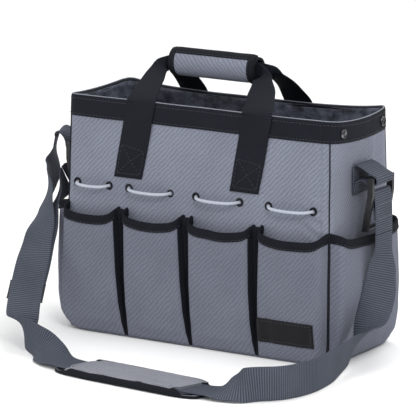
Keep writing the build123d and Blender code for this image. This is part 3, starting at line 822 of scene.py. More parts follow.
def build_rim():
    profile_rows = band_rows(2.5 * MM)
    rim = sheet_solid("rim_binding", profile_rows, 1.1 * MM, BLACK_WEB, "bag", closed=True, outer=0.5)
    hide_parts("rim_band_front", "rim_band_back", "rim_band_left", "rim_band_right")
    rows = []
    for z in (BAND_LOW + 2.2 * MM, HEIGHT - 3.0 * MM):
        row = []
        for station in STATIONS + STATIONS[:1]:
            flat, out, wave, lift = rim_frame(station, z, 1.7 * MM)
            row.append((flat + out * wave + Vector((0, 0, lift)), out))
        rows.append(row)
    # A pale thin cord along the rim's top edge: a painted highlight of the binding's folded edge.
    edge = []
    for station in STATIONS:
        flat, _, _, lift = rim_frame(station, HEIGHT, -0.2 * MM)
        edge.append(flat + Vector((0, 0, 1.5 * MM + lift)))
    highlight_roll = round_tube("rim_edge_highlight", edge + edge[:1], 0.65 * MM, EDGE_TAPE_AND_HIGHLIGHT, "bag", sides=8)
    stitches("rim_stitches", rows, BLACK_THREAD, "bag")


def build_piping():
    for index, (sx, sy) in enumerate(((1, -1), (1, 1), (-1, 1), (-1, -1))):
        angle = math.atan2(sy, sx)
        line = []
        for k in range(60):
            z = mix(2.5 * MM, BAND_LOW + 1 * MM, k / 59)
            point = outline_point(("corner", sx, sy, angle), z, 0.6 * MM)
            wobble = 0.5 * MM * ripple(sx, sy, z, 0.04, 4.0)
            line.append(point + Vector((wobble * sx, -wobble * sy, 0)))
        below = sum(1 for point in line if point.z < POCKET_TOP)
        seam = line[below - 1 :]
        round_tube(f"corner_piping_{index + 1}", seam, 0.75 * MM, BLACK_CLOTH_AND_SHADE, "bag")
        round_tube(f"corner_seam_{index + 1}", line[:below], 1.7 * MM, BLACK_CLOTH_AND_SHADE, "bag")
    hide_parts("corner_piping")


# ---------------------------------------------------------------- pockets

POCKET_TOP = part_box("front_pocket_2")[1][2]
POCKET_PROFILE = ((0.0, 1.2), (8, 5.0), (20, 9.2), (45, 13.2), (80, 15.2), (120, 14.8), (156, 13.6))
WALL_STEPS = 8
SHOULDER_STEPS = 8
FACE_STEPS = 36
POCKET_COLUMNS = 2 * (WALL_STEPS + SHOULDER_STEPS) + FACE_STEPS


def pocket_depth(z):
    z = z / MM
    for (low, start), (high, end) in zip(POCKET_PROFILE, POCKET_PROFILE[1:]):
        if z <= high:
            return mix(start, end, smooth(low, high, z) * 0.5 + 0.5 * (z - low) / (high - low)) * MM
    return POCKET_PROFILE[-1][1] * MM


class Pocket:
    """A bulging pocket on one face: two side walls, rounded shoulders and a crowned front."""

    def __init__(self, node_name, place, axis, seed, to_left_corner, to_right_corner):
        low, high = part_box(node_name)[0][2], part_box(node_name)[1][2]
        flip = -1 if place is on_left_outward else 1
        tops = span_at(node_name, axis, high - 12 * MM, high)
        bases = span_at(node_name, axis, low, low + 2 * MM)
        self.tops = sorted(flip * t for t in tops)
        self.bases = sorted(flip * b for b in bases)
        self.place, self.axis, self.seed, self.low = place, axis, seed, low
        self.corners = (to_left_corner, to_right_corner)

    def edges(self, z):
        """Where the pocket is sewn to the body: at a divider, or on the body's own corner."""
        share = z / POCKET_TOP
        half = half_width(z) if self.axis == 0 else half_depth(z)
        corner = half - (1 - math.sqrt(0.5)) * corner_radius(z)
        left = -corner if self.corners[0] else mix(self.bases[0], self.tops[0], share)
        right = corner if self.corners[1] else mix(self.bases[1], self.tops[1], share)
        return left, right

    def profile(self, column, z):
        """Distance from the pocket's middle, and share of its depth, of one column."""
        left, right = self.edges(z)
        half, depth = (right - left) / 2, pocket_depth(z)
        mirrored = column > POCKET_COLUMNS / 2
        step = POCKET_COLUMNS - column if mirrored else column
        bend = min(6 * MM, 0.6 * depth)
        lean = 0.12 * depth
        if step <= WALL_STEPS:
            t = step / WALL_STEPS
            x, y = -half + lean * t, (depth - bend) * t
        elif step <= WALL_STEPS + SHOULDER_STEPS:
            angle = math.pi / 2 * (step - WALL_STEPS) / SHOULDER_STEPS
            x = -half + lean + bend * (1 - math.cos(angle))
            y = depth - bend * (1 - math.sin(angle))
        else:
            t = (step - WALL_STEPS - SHOULDER_STEPS) / FACE_STEPS
            x, y = mix(-half + lean + bend, half - lean - bend, t), depth
        return (left + right) / 2 + (-x if mirrored else x), y / depth

    def share(self, column):
        """Place across the pocket from -1 to 1, for sags and slack that vary along its mouth."""
        s, _ = self.profile(column, POCKET_TOP)
        left, right = self.edges(POCKET_TOP)
        return (s - (left + right) / 2) / ((right - left) / 2)

    def top(self, column):
        x = min(abs(self.share(column)), 1.0)
        sag = 6.0 * MM * (1 - x**9) + 5.0 * MM * (1 - x * x)
        wander = 0.8 * MM * ripple(self.share(column) * 0.05, self.seed, 0, 0.03, 6.0)
        return POCKET_TOP - 1.2 * MM - sag + wander

    def point(self, column, z, grow=0.0):
        s, y = self.profile(column, z)
        left, right = self.edges(z)
        x = (s - (left + right) / 2) / ((right - left) / 2)
        crown = 1.6 * MM * (1 - x * x) * smooth(0.02, 0.07, z)
        slack = 0.8 * MM * ripple(s, z * 0.5, 0, 0.045, self.seed)
        slack += 0.35 * MM * ripple(s, z, 0, 0.018, self.seed + 3)
        tuck = 1.4 * MM * math.exp(-(((abs(x) - 0.6) / 0.13) ** 2)) * (1 - smooth(0.015, 0.09, z))
        pull = 0.8 * MM * math.cos(8 * x + self.seed) * smooth(0.08, 0.14, z) * (1 - abs(x))
        relief = (crown + slack - tuck + pull) * smooth(0.0, 0.012, z) * y**3
        out = max(pocket_depth(z) * y + relief, 0.2 * MM * y)
        aside = grow * max(-1.0, min(1.0, x * 6)) * (1 - y**4)
        return self.place(s + aside, out + grow * y**2, z)


def on_left_outward(s, d, z):
    return on_left(-s, d, z)


def pocket_rows(pocket, grow, count, drop_low=None, drop_high=0.0):
    """Rows of points up a pocket, or only the band just under its top edge."""
    rows = []
    for i in range(count + 1):
        row = []
        for j in range(POCKET_COLUMNS + 1):
            low = pocket.low + 0.4 * MM if drop_low is None else pocket.top(j) - drop_low
            z = mix(low, pocket.top(j) + drop_high, i / count)
            row.append(pocket.point(j, z, grow))
        rows.append(row)
    return rows


def binding_rows(pocket):
    """Rows of the tape folded over a pocket's top edge."""
    rows = pocket_rows(pocket, 1.1 * MM, 5, BINDING_HEIGHT)
    for rise, grow in ((0.7 * MM, 0.6 * MM), (1.0 * MM, -0.5 * MM), (0.6 * MM, -1.7 * MM)):
        rows.append(pocket_rows(pocket, grow, 1, 0.1 * MM, rise)[-1])
    for drop in (1.5, 4.0, 7.5):
        rows.append(pocket_rows(pocket, -2.3 * MM, 1, drop * MM)[0])
    return rows


def build_pocket(node_name, binding_node, pocket):
    rows = pocket_rows(pocket, 0.0, 52)
    wall = sheet_solid(f"{node_name}_cloth", rows, POCKET_CLOTH, SHADED_POCKET_GREY, "bag", outer=0.0)
    # Painted shade: the pocket's walls at the dividers take the black cloth, standing for the shade in the
    # deep groove between two pockets.
    wall.data.materials.append(BLACK_CLOTH_AND_SHADE)
    columns = POCKET_COLUMNS + 1
    # dark lists which walls are painted black as groove shade: those at a divider, not those on a body
    # corner.
    dark = [not corner for corner in pocket.corners]
    for polygon in wall.data.polygons:
        column = sum(v % columns for v in polygon.vertices) / len(polygon.vertices)
        at_left, at_right = column < WALL_STEPS + 3, column > POCKET_COLUMNS - WALL_STEPS - 3
        if at_left and dark[0] or at_right and dark[1]:
            polygon.material_index = 1
    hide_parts(node_name)
    tape = sheet_solid(f"{node_name}_tape", binding_rows(pocket), 0.8 * MM, BLACK_TAPE, "bag")
    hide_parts(binding_node)
    row = []
    for j in range(WALL_STEPS, POCKET_COLUMNS - WALL_STEPS + 1):
        z = pocket.top(j) - BINDING_HEIGHT + 1.5 * MM
        point, out = pocket.point(j, z, 1.6 * MM), pocket.point(j, z, 3 * MM)
        row.append((point, out - point))
    return row


def build_pockets():
    rows, made = [], []
    for index in range(4):
        name = f"front_pocket_{index + 1}"
        pocket = Pocket(name, on_front, 0, 2.0 + 1.7 * index, index == 0, index == 3)
        rows.append(build_pocket(name, f"front_pocket_binding_{index + 1}", pocket))
        made.append(pocket)
    for side, place, seed in (("left", on_left_outward, 9.0), ("right", on_right, 12.0)):
        name = f"{side}_side_pocket"
        rows.append(build_pocket(name, f"{name}_binding", Pocket(name, place, 1, seed, True, True)))
    stitches("pocket_stitches", rows, BLACK_THREAD, "bag")
    return made


def build_gussets():
    """The black folded strips between the pockets, deep at the top and closed at the foot: black cloth whose
    black is partly painted shade of the deep pleats.
    """
    for index in range(3):
        name = f"pocket_gusset_{index + 1}"
        low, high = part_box(name)[0][2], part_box(name)[1][2]
        tops = span_at(name, 0, high - 1 * MM, high)
        bases = span_at(name, 0, low, low + 1 * MM)
        rows = []
        for i in range(40):
            z = mix(low + 0.5 * MM, high, i / 39)
            t = i / 39
            left, right = mix(bases[0], tops[0], t) - 1.4 * MM, mix(bases[1], tops[1], t) + 1.4 * MM
            row = []
            for j in range(13):
                x = j / 6 - 1
                d = (1.0 + 3.6 * t * abs(x) ** 1.5) * MM + 0.3 * MM * ripple(x, z, 0, 0.02, index)
                row.append(on_front(mix(left, right, j / 12), d, z))
            rows.append(row)
        # Black cloth, its black standing partly for painted shade in the deep pleats.
        strip = sheet_solid(name + "_cloth", rows, 0.8 * MM, BLACK_CLOTH_AND_SHADE, "bag")
        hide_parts(name)


def build_label(pocket):
    """A plain moulded patch, sewn on along its edge."""
    low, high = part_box("label_patch")
    rows, frame_line = [], []
    count, columns = 14, 40

    def spot(a, b, lift):
        s, z = mix(low[0], high[0], a), mix(low[2], high[2], b)
        for column in range(POCKET_COLUMNS):
            start, end = pocket.profile(column, z)[0], pocket.profile(column + 1, z)[0]
            if start <= s <= end and end > start:
                near, far = pocket.point(column, z, lift), pocket.point(column + 1, z, lift)
                return near.lerp(far, (s - start) / (end - start))
        return pocket.place(s, pocket_depth(z) + lift, z)

    for i in range(count + 1):
        rows.append([spot(j / columns, i / count, 0.9 * MM) for j in range(columns + 1)])
    patch = sheet_solid("label_patch_rubber", rows, 1.0 * MM, LABEL, "bag")
    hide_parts("label_patch")
    for a, b in ((0.035, 0.1), (0.965, 0.1), (0.965, 0.9), (0.035, 0.9), (0.035, 0.1)):
        frame_line.append((a, b))
    stitched = []
    for (a0, b0), (a1, b1) in zip(frame_line, frame_line[1:]):
        side = []
        for k in range(12):
            a, b = mix(a0, a1, k / 11), mix(b0, b1, k / 11)
            point = spot(a, b, 1.5 * MM)
            side.append((point, spot(a, b, 3 * MM) - point))
        stitched.append(side)
    stitches("label_stitches", stitched, BLACK_THREAD, "bag")


# ---------------------------------------------------------------- tool loops and eyelets


LOOP_RADIUS = 1.8 * MM
LOOP_SAG = 1.5 * MM
EYELET_PROFILE = (
    (2.3, -3.9), (2.3, 0.2), (2.6, 1.0), (3.3, 1.35), (4.3, 1.2), (5.0, 0.6), (5.1, 0.05), (3.2, 0.0),
    (3.2, -3.9), (5.0, -4.0), (4.8, -4.8), (3.2, -4.9),
)
KNOT_PROFILE = (
    (0.3, -3.4), (2.0, -3.0), (3.3, -1.6), (3.4, 0.0), (2.9, 0.6), (3.3, 1.3), (3.0, 2.4), (1.9, 3.2),
    (0.3, 3.4),
)
STUD_PROFILE = (
    (0.05, 0.9), (1.6, 1.0), (2.2, 0.55), (3.1, 0.5), (3.7, 1.5), (4.5, 1.9), (5.3, 1.4), (5.6, 0.4),
    (5.5, 0.0), (0.05, 0.0),
)


def in_metres(profile):
    return [(radius * MM, height * MM) for radius, height in profile]


def loop_ends(index):
    low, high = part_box(f"tool_loop_{index}")
    return low[0] + LOOP_RADIUS, high[0] - LOOP_RADIUS, high[2] - LOOP_RADIUS


def build_tool_loops():
    lean = math.atan2(-DEPTH_SLOPE, 1.0)
    outward = Vector((0, -math.cos(lean), math.sin(lean)))
    planes = []
    for index in range(1, 5):
        left, right, z = loop_ends(index)
        quarter = (right - left) / 4
        route = (
            (left, -8, z), (left, 6, z), (left + quarter, 11, z - LOOP_SAG),
            (right - quarter, 11, z - LOOP_SAG), (right, 6, z), (right, -8, z),
        )
        points = [on_front(x, out * MM, level) for x, out, level in route]
        line = resample(nurbs_line(points), 1.2 * MM)
        cord = round_tube(f"tool_loop_cord_{index}", line, LOOP_RADIUS, ELASTIC, "bag", sides=12)
        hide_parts(f"tool_loop_{index}")
        planes += [(on_front(left, 0, z), outward), (on_front(right, 0, z), outward)]
    depth = -WALL - 1.0 * MM
    rings = turned("eyelet_rings", in_metres(EYELET_PROFILE), planes, EYELET, "bag")
    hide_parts("eyelets")
    knots = [(centre + axis * (depth - 7.5 * MM), axis) for centre, axis in planes]
    stops = turned("cord_knots", in_metres(KNOT_PROFILE), knots, ELASTIC, "bag", sides=18)
    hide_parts("loop_knots")


# ---------------------------------------------------------------- handles and grip

LEG_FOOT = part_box("front_handle_left_leg")[0][2]
GRIP_LOW, GRIP_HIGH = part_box("grip_sleeve")
GRIP_Z = (GRIP_LOW[2] + GRIP_HIGH[2]) / 2
GRIP_LEFT, GRIP_RIGHT = GRIP_LOW[0], GRIP_HIGH[0]
HANDLE_STEP = 2.4 * MM
FOOT_SEWN = 36 * MM

# Where the grip's flap starts and where its cloth and its bound edge end, round from straight forward.
FLAP_LOW = math.radians(-72)
FLAP_HIGH = math.radians(43)
FLAP_EDGE = math.radians(78)
FLAP_INSET = 8.0 * MM


def leg_middle(node_name, z):
    foot = sum(span_at(node_name, 0, LEG_FOOT - MM, LEG_FOOT + MM)) / 2
    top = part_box(node_name)[1][2]
    head = sum(span_at(node_name, 0, top - MM, top + MM)) / 2
    return mix(foot, head, (z - LEG_FOOT) / (top - LEG_FOOT))


def handle_line(label, side, place):
    """A handle's middle line, with its width direction and width at each anchor."""
    half = WEBBING / 2
    out = BAND + half + 0.5 * MM
    rim_y = side * (half_depth(HEIGHT) + out)
    grip_y = side * 2.6 * MM
    rise = HEIGHT + 3.2 * MM
    legs = []
    for name, sign, grip_end in (("left", 1, GRIP_LEFT), ("right", -1, GRIP_RIGHT)):
        leg = f"{label}_handle_{name}_leg"
        foot, top = leg_middle(leg, LEG_FOOT), leg_middle(leg, HEIGHT)
        end = grip_end - sign * 13 * MM
        flat = Vector((sign, 0, -sign * (top - foot) / (HEIGHT - LEG_FOOT)))
        tucked = Vector((0, side * 0.05, -1))
        dip = rim_dip(Vector((top, side * half_depth(HEIGHT), HEIGHT)), HEIGHT)
        anchors = []
        for z, stand_off, drop in (
            (LEG_FOOT, half + 0.3 * MM, 0), (0.215, half + 0.3 * MM, 0),
            (BAND_LOW - 4 * MM, half + 0.5 * MM, 0), (BAND_LOW + 3 * MM, out, 0), (HEIGHT - 3 * MM, out, dip),
        ):
            anchors.append((place(leg_middle(leg, z), stand_off, z - drop), flat, 1.0))
        over = Vector((mix(top, end, 0.4), rim_y * 0.62, rise + 15 * MM))
        under_grip = Vector((end, rim_y * 0.25, GRIP_Z - 9 * MM))
        anchors += [
            (Vector((top, rim_y, rise - dip)), Vector((sign, 0, 0)), 1.0),
            (over, Vector((sign, side * 0.12, 0)), 0.86),
            (under_grip, Vector((sign * 0.8, side * 0.6, -0.4)), 0.62),
            (Vector((grip_end - sign * 7 * MM, grip_y, GRIP_Z - 1 * MM)), tucked, 0.42),
            (Vector((grip_end + sign * 20 * MM, grip_y, GRIP_Z + 0.3 * MM)), tucked, 0.42),
        ]
        legs.append(anchors)
    return legs[0] + legs[1][::-1]


def box_stitch(line, sides, tops, low, high):
    """The sewn box and cross that fixes a webbing end, between two stations of its line."""
    half = HANDLE_WIDTH / 2 - 3.5 * MM

    def spot(index, x):
        return line[index] + sides[index] * (x * half) + tops[index] * (WEBBING / 2 + 0.15 * MM), tops[index]

    span = range(low, high + 1)
    rows = [[spot(i, -1) for i in span], [spot(i, 1) for i in span]]
    rows += [[spot(low, x / 4 - 1) for x in range(9)], [spot(high, x / 4 - 1) for x in range(9)]]
    size = len(rows[0]) - 1
    for sign in (-1, 1):
        rows.append([spot(i, sign * (2 * (i - low) / size - 1)) for i in span])
    return rows


def build_handle(label, side, place):
    anchors = handle_line(label, side, place)
    points = [p for p, _, _ in anchors]
    line = resample(nurbs_line(points), HANDLE_STEP)
    across = spread_values(line, points, [d.normalized() for _, d, _ in anchors])
    widths = spread_values(line, points, [HANDLE_WIDTH * w for _, _, w in anchors])
    rings, sides, tops = ribbon_rings(line, across, widths, WEBBING, sheared=True)
    band = tube_object(f"{label}_handle_band", rings, line, HANDLE_WIDTH, BLACK_WEB, None)
    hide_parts(f"{label}_handle_webbing", f"{label}_handle_left_leg", f"{label}_handle_right_leg")
    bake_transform(band)
    foot_top = int(FOOT_SEWN / HANDLE_STEP)
    last = len(line) - 1
    outward = [t if t.dot(place(0, 1, 0.2) - place(0, 0, 0.2)) > 0 else -t for t in tops]
    rows = box_stitch(line, sides, outward, 2, foot_top)
    rows += box_stitch(line, sides, outward, last - foot_top, last - 2)
    stitches(f"{label}_handle_stitches", rows, BLACK_THREAD, "bag")


def grip_section(x, angle, radius):
    """A point on the padded grip: a soft round that pinches in at both ends."""
    share = (x - GRIP_LEFT) / (GRIP_RIGHT - GRIP_LEFT)
    pinch = 1 - 0.07 * math.exp(-((share / 0.05) ** 2)) - 0.07 * math.exp(-(((1 - share) / 0.05) ** 2))
    flatten = 1 - 0.04 * math.cos(angle) ** 2
    soft = 0.35 * MM * ripple(x, math.cos(angle) * 0.02, math.sin(angle) * 0.02, 0.02, 8.0)
    r = radius * pinch * flatten + soft
    return Vector((x, -r * math.cos(angle), GRIP_Z + r * math.sin(angle)))


def build_grip():
    radius = (GRIP_HIGH[2] - GRIP_LOW[2]) / 2
    rows = []
    for i in range(61):
        x = mix(GRIP_LEFT + 0.5 * MM, GRIP_RIGHT - 0.5 * MM, i / 60)
        rows.append([grip_section(x, -2 * math.pi * j / 48, radius - 0.4 * MM) for j in range(48)])
    sleeve = sheet_solid("grip_padding", rows, 3.0 * MM, BLACK_CLOTH_AND_SHADE, "handles", closed=True, outer=0.0)
    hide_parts("grip_sleeve")
    flap_radius = radius + 1.3 * MM
    rows = []
    for i in range(51):
        x = mix(GRIP_LEFT + FLAP_INSET - 1 * MM, GRIP_RIGHT - FLAP_INSET + 1 * MM, i / 50)
        rows.append([grip_section(x, mix(FLAP_HIGH, FLAP_LOW, j / 30), flap_radius) for j in range(31)])
    flap = sheet_solid("grip_flap_cloth", rows, 1.6 * MM, CLOTH, "grip_flap", outer=0.6)
    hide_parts("grip_flap")
    build_flap_binding(flap_radius)


def build_flap_binding(radius):
    """Black tape round the flap: both ends and the wide free edge."""
    tape_radius = radius + 0.4 * MM
    left, right = GRIP_LEFT + 0.3 * MM, GRIP_RIGHT - 0.3 * MM
    grids = []
    for start, end in ((left, left + FLAP_INSET), (right - FLAP_INSET, right)):
        rows = []
        for i in range(5):
            x = mix(start, end, i / 4)
            swell = tape_radius + 0.5 * MM * math.sin(math.pi * i / 4)
            rows.append([grip_section(x, mix(FLAP_EDGE, FLAP_LOW, j / 34), swell) for j in range(35)])
        grids.append(rows)
    rows = []
    for i in range(51):
        x = mix(left + FLAP_INSET - 1 * MM, right - FLAP_INSET + 1 * MM, i / 50)
        row = []
        for j in range(9):
            swell = tape_radius + 0.5 * MM * math.sin(math.pi * j / 8)
            row.append(grip_section(x, mix(FLAP_EDGE, FLAP_HIGH - 0.02, j / 8), swell))
        rows.append(row)
    grids.append(rows)
    pieces = [
        sheet_solid(f"flap_tape_{index + 1}", grid, 1.8 * MM, BLACK_TAPE, "grip_flap", outer=0.6)
        for index, grid in enumerate(grids)
    ]
    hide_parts("grip_flap_binding")
    long_row = [(mix(left + FLAP_INSET, right - FLAP_INSET, i / 59), FLAP_HIGH + 0.06) for i in range(60)]
    courses = [long_row]
    for x in (left + FLAP_INSET - 1.2 * MM, right - FLAP_INSET + 1.2 * MM):
        courses.append([(x, mix(FLAP_LOW, FLAP_HIGH, j / 29)) for j in range(30)])
    stitched = []
    for course in courses:
        points = [grip_section(x, angle, radius + 2.0 * MM) for x, angle in course]
        stitched.append([(point, point - Vector((point.x, 0, GRIP_Z))) for point in points])
    stitches("flap_stitches", stitched, BLACK_THREAD, "grip_flap")


# ---------------------------------------------------------------- strap, pad and hardware

# The strap's route and width directions, as the frame's shoulder_strap has them.
STRAP_ROUTE = [
    ((0.2074, 0.0, 0.1446), (0.0, 1.0, 0.0)),
    ((0.2074, 0.0, 0.126), (0.0, 1.0, 0.0)),
    ((0.2093, -0.007, 0.102), (0.45, 0.89, 0.0)),
    ((0.2115, -0.018, 0.076), (0.78, 0.62, 0.05)),
    ((0.212, -0.032, 0.054), (0.82, 0.5, 0.3)),
    ((0.212, -0.056, 0.036), (0.6, 0.35, 0.72)),
    ((0.214, -0.092, 0.0245), (0.2, 0.1, 0.97)),
    ((0.219, -0.138, 0.0205), (0.0, 0.0, 1.0)),
    ((0.222, -0.184, 0.0205), (0.0, 0.0, 1.0)),
    ((0.209, -0.224, 0.0205), (0.0, 0.0, 1.0)),
    ((0.182, -0.243, 0.0205), (0.0, 0.1, 1.0)),
    ((0.158, -0.2465, 0.0138), (0.0, 0.8, 0.6)),
    ((0.133, -0.2455, 0.0054), (0.0, 1.0, 0.0)),
    ((0.084, -0.241, 0.0047), (0.0, 1.0, 0.0)),
    ((0.03, -0.2362, 0.0046), (0.0, 1.0, 0.0)),
    ((-0.024, -0.2313, 0.0047), (0.0, 1.0, 0.0)),
    ((-0.077, -0.2266, 0.0052), (0.0, 1.0, 0.0)),
    ((-0.101, -0.219, 0.0129), (0.0, 0.8, 0.6)),
    ((-0.126, -0.207, 0.0208), (0.0, 0.1, 1.0)),
    ((-0.152, -0.196, 0.023), (-0.35, 0.1, 0.93)),
    ((-0.167, -0.174, 0.046), (-0.88, -0.42, 0.13)),
    ((-0.181, -0.138, 0.078), (-0.88, -0.42, 0.13)),
    ((-0.198, -0.095, 0.112), (-0.94, -0.23, -0.27)),
    ((-0.217, -0.052, 0.144), (-0.68, 0.25, -0.69)),
    ((-0.23, -0.022, 0.165), (-0.1, 0.61, -0.79)),
]
RETURN_ROUTE = [
    ((-0.2148, -0.0124, 0.1624), (0.0, -0.8, 0.55)),
    ((-0.211, -0.046, 0.140), (0.68, -0.25, 0.69)),
    ((-0.1976, -0.090, 0.1065), (0.94, 0.23, 0.27)),
    ((-0.1825, -0.134, 0.0725), (0.88, 0.42, -0.13)),
    ((-0.1775, -0.149, 0.0595), (0.88, 0.42, -0.13)),
]
BIGHT_ROUTE = [
    ((-0.2302, -0.0215, 0.16535), (0.1, -0.61, 0.79)),
    ((-0.2354, -0.0095, 0.17375), (0.0, -0.8, 0.55)),
    ((-0.239, -0.002, 0.198), (0.5, -0.86, 0.1)),
    ((-0.231, -0.001, 0.221), (0.45, -0.89, 0.0)),
    ((-0.216, 0.0, 0.214), (0.2, -0.98, 0.0)),
    ((-0.210, 0.0, 0.198), (0.0, -1.0, 0.0)),
    ((-0.1974, 0.0, 0.1972), (0.0, -1.0, 0.0)),
    ((-0.1974, 0.0, 0.1828), (0.0, -1.0, 0.0)),
    ((-0.213, 0.0, 0.1805), (0.0, -1.0, 0.1)),
    ((-0.2155, -0.005, 0.1675), (0.0, -0.85, 0.5)),
    ((-0.21505, -0.0096, 0.1643), (0.0, -0.8, 0.55)),
]
END_ROUTE = [
    ((0.2074, 0.0, 0.145), (0.0, 1.0, 0.0)),
    ((0.2074, 0.0, 0.195), (0.0, 1.0, 0.0)),
    ((0.1986, 0.0, 0.195), (0.0, 1.0, 0.0)),
    ((0.199, 0.0, 0.181), (0.0, 1.0, 0.0)),
    ((0.205, 0.0, 0.171), (0.0, 1.0, 0.0)),
    ((0.205, 0.0, 0.162), (0.0, 1.0, 0.0)),
]


def strap_line(route, step=2.5 * MM):
    anchors = [Vector(p) for p, _ in route]
    line = resample(nurbs_line(anchors), step)
    across = spread_values(line, anchors, [Vector(d).normalized() for _, d in route])
    for _ in range(6):
        across = [
            (across[max(i - 1, 0)] + across[i] * 2 + across[min(i + 1, len(across) - 1)]).normalized()
            for i in range(len(across))
        ]
    return line, across


def strap_piece(name, line, across, body, thickness=STRAP_THICKNESS):
    return ribbon(name, line, across, [STRAP_WIDTH] * len(line), thickness, STRAP_WEB, body)


def build_strap(pad_pieces):
    slider = moulded("strap_slider_frame", "strap_slider", "bag", 0.06)
    line, across = strap_line(STRAP_ROUTE)
    strap = strap_piece("shoulder_strap_webbing", line, across, None)
    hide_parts("shoulder_strap")
    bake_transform(strap)
    second_line, second_across = strap_line(RETURN_ROUTE)
    second = strap_piece("strap_second_layer", second_line, second_across, None)
    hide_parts("left_strap_return")
    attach(second, "bag")
    bend_line, bend_across = strap_line(BIGHT_ROUTE, 1.6 * MM)
    bend = strap_piece("strap_bend", bend_line, bend_across, None)
    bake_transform(bend)
    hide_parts("left_strap_bight")
    end_line, end_across = strap_line(END_ROUTE, 1.6 * MM)
    end = strap_piece("strap_sewn_end", end_line, end_across, "right_buckle", 1.9 * MM)
    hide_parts("right_strap_end")
    low, high = 0.163, 0.179
    half = STRAP_WIDTH / 2 - 3 * MM
    face = END_ROUTE[0][0][0] + STRAP_THICKNESS / 2 + 0.1 * MM
    courses = [[(y * half / 8, z) for y in range(-8, 9)] for z in (low, high)]
    courses += [[(y * half, mix(low, high, k / 6)) for k in range(7)] for y in (-1, 1)]
    rows = [[(Vector((face, y, z)), Vector((1, 0, 0))) for y, z in course] for course in courses]
    stitches("strap_end_stitches", rows, GREY_THREAD, "right_buckle")


BAR_X, BAR_Z = 0.203, 0.206


def build_tabs():
    """Webbing tabs, sewn flat on the side panels and folded round the buckles' top bars."""
    face = half_width(BAR_Z)
    for side in (-1, 1):
        name = "right" if side > 0 else "left"
        profile = [
            (face, 1.2, -18), (face, 1.2, 6), (face, 1.6, 17), (face, 10, 15), (BAR_X, -1, 6.4),
            (BAR_X, 5.4, 4.2), (BAR_X, 5.2, -4.4), (BAR_X, -4, -4.8), (face, 9, 1), (face, 2.8, -6),
            (face, 2.6, -16),
        ]
        anchors = [Vector((side * (start + x * MM), 0, BAR_Z + z * MM)) for start, x, z in profile]
        line = resample(nurbs_line(anchors), 1.6 * MM)
        across = [Vector((0, 1, 0))] * len(line)
        widths = [STRAP_WIDTH] * len(line)
        tab = ribbon(f"{name}_tab_webbing", line, across, widths, 1.7 * MM, STRAP_WEB, "bag")
        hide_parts(f"{name}_strap_tab")


def moulded(name, node_name, body, draw_in=0.0):
    """A piece with the node's form and softly rounded edges, drawn in towards its middle if asked."""
    source = NODES[node_name].data
    middle = sum((v.co for v in source.vertices), Vector()) / len(source.vertices)
    verts = [middle + (v.co - middle) * (1 - draw_in) for v in source.vertices]
    made = make_object(name, verts, [tuple(f.vertices) for f in source.polygons], None, PLASTIC, body)
    shape = bmesh.new()
    shape.from_mesh(made.data)
    bmesh.ops.remove_doubles(shape, verts=shape.verts[:], dist=0.01 * MM)
    bmesh.ops.dissolve_limit(shape, angle_limit=0.02, verts=shape.verts[:], edges=shape.edges[:])
    shape.to_mesh(made.data)
    shape.free()
    for polygon in made.data.polygons:
        polygon.use_smooth = True
    rounding = made.modifiers.new("rounded", "BEVEL")
    rounding.width = 0.6 * MM
    rounding.segments = 3
    rounding.limit_method = "ANGLE"
    rounding.angle_limit = math.radians(40)
    rounding.harden_normals = True
    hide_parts(node_name)
    return made


def build_hardware():
    moulded("left_buckle_frame", "left_buckle", "left_buckle")
    moulded("right_buckle_frame", "right_buckle", "right_buckle")
    low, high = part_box("press_studs")
    z = (low[2] + high[2]) / 2
    half = (high[2] - low[2]) / 2
    lean = math.atan2(-WIDTH_SLOPE, 1.0)
    planes = []
    for sign, place in ((1, on_right), (-1, on_left)):
        for s in (low[1] + half, high[1] - half):
            seat = place(s, BAND + 0.2 * MM, z)
            seat.z -= rim_dip(seat, z)
            planes.append((seat, Vector((sign * math.cos(lean), 0, math.sin(lean)))))
    studs = turned("press_stud_caps", in_metres(STUD_PROFILE), planes, STUD, "bag")
    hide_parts("press_studs")


PAD_TURN = math.radians(-5.0)


def pad_spot(a, b, centre, size, lift):
    """A point of the pad's plan: a and b run from -1 to 1 along and across it, with round corners."""
    power = 5.0
    reach = (abs(a) ** power + abs(b) ** power) ** (1 / power)
    largest = max(abs(a), abs(b))
    scale = largest / reach if reach else 1.0
    x, y = a * scale * size[0], b * scale * size[1]
    c, s = math.cos(PAD_TURN), math.sin(PAD_TURN)
    return Vector((centre[0] + x * c - y * s, centre[1] + x * s + y * c, lift))


PAD_LENGTH = 206 * MM
PAD_WIDTH = 62 * MM
PAD_COVER_END = 0.80


def pad_cover_end(b, sign):
    """The curved seams where the pad's cover stops and the strap comes out on top of the base."""
    return sign * (PAD_COVER_END + 0.07 * sign * b - 0.05 * (1 - b * b))


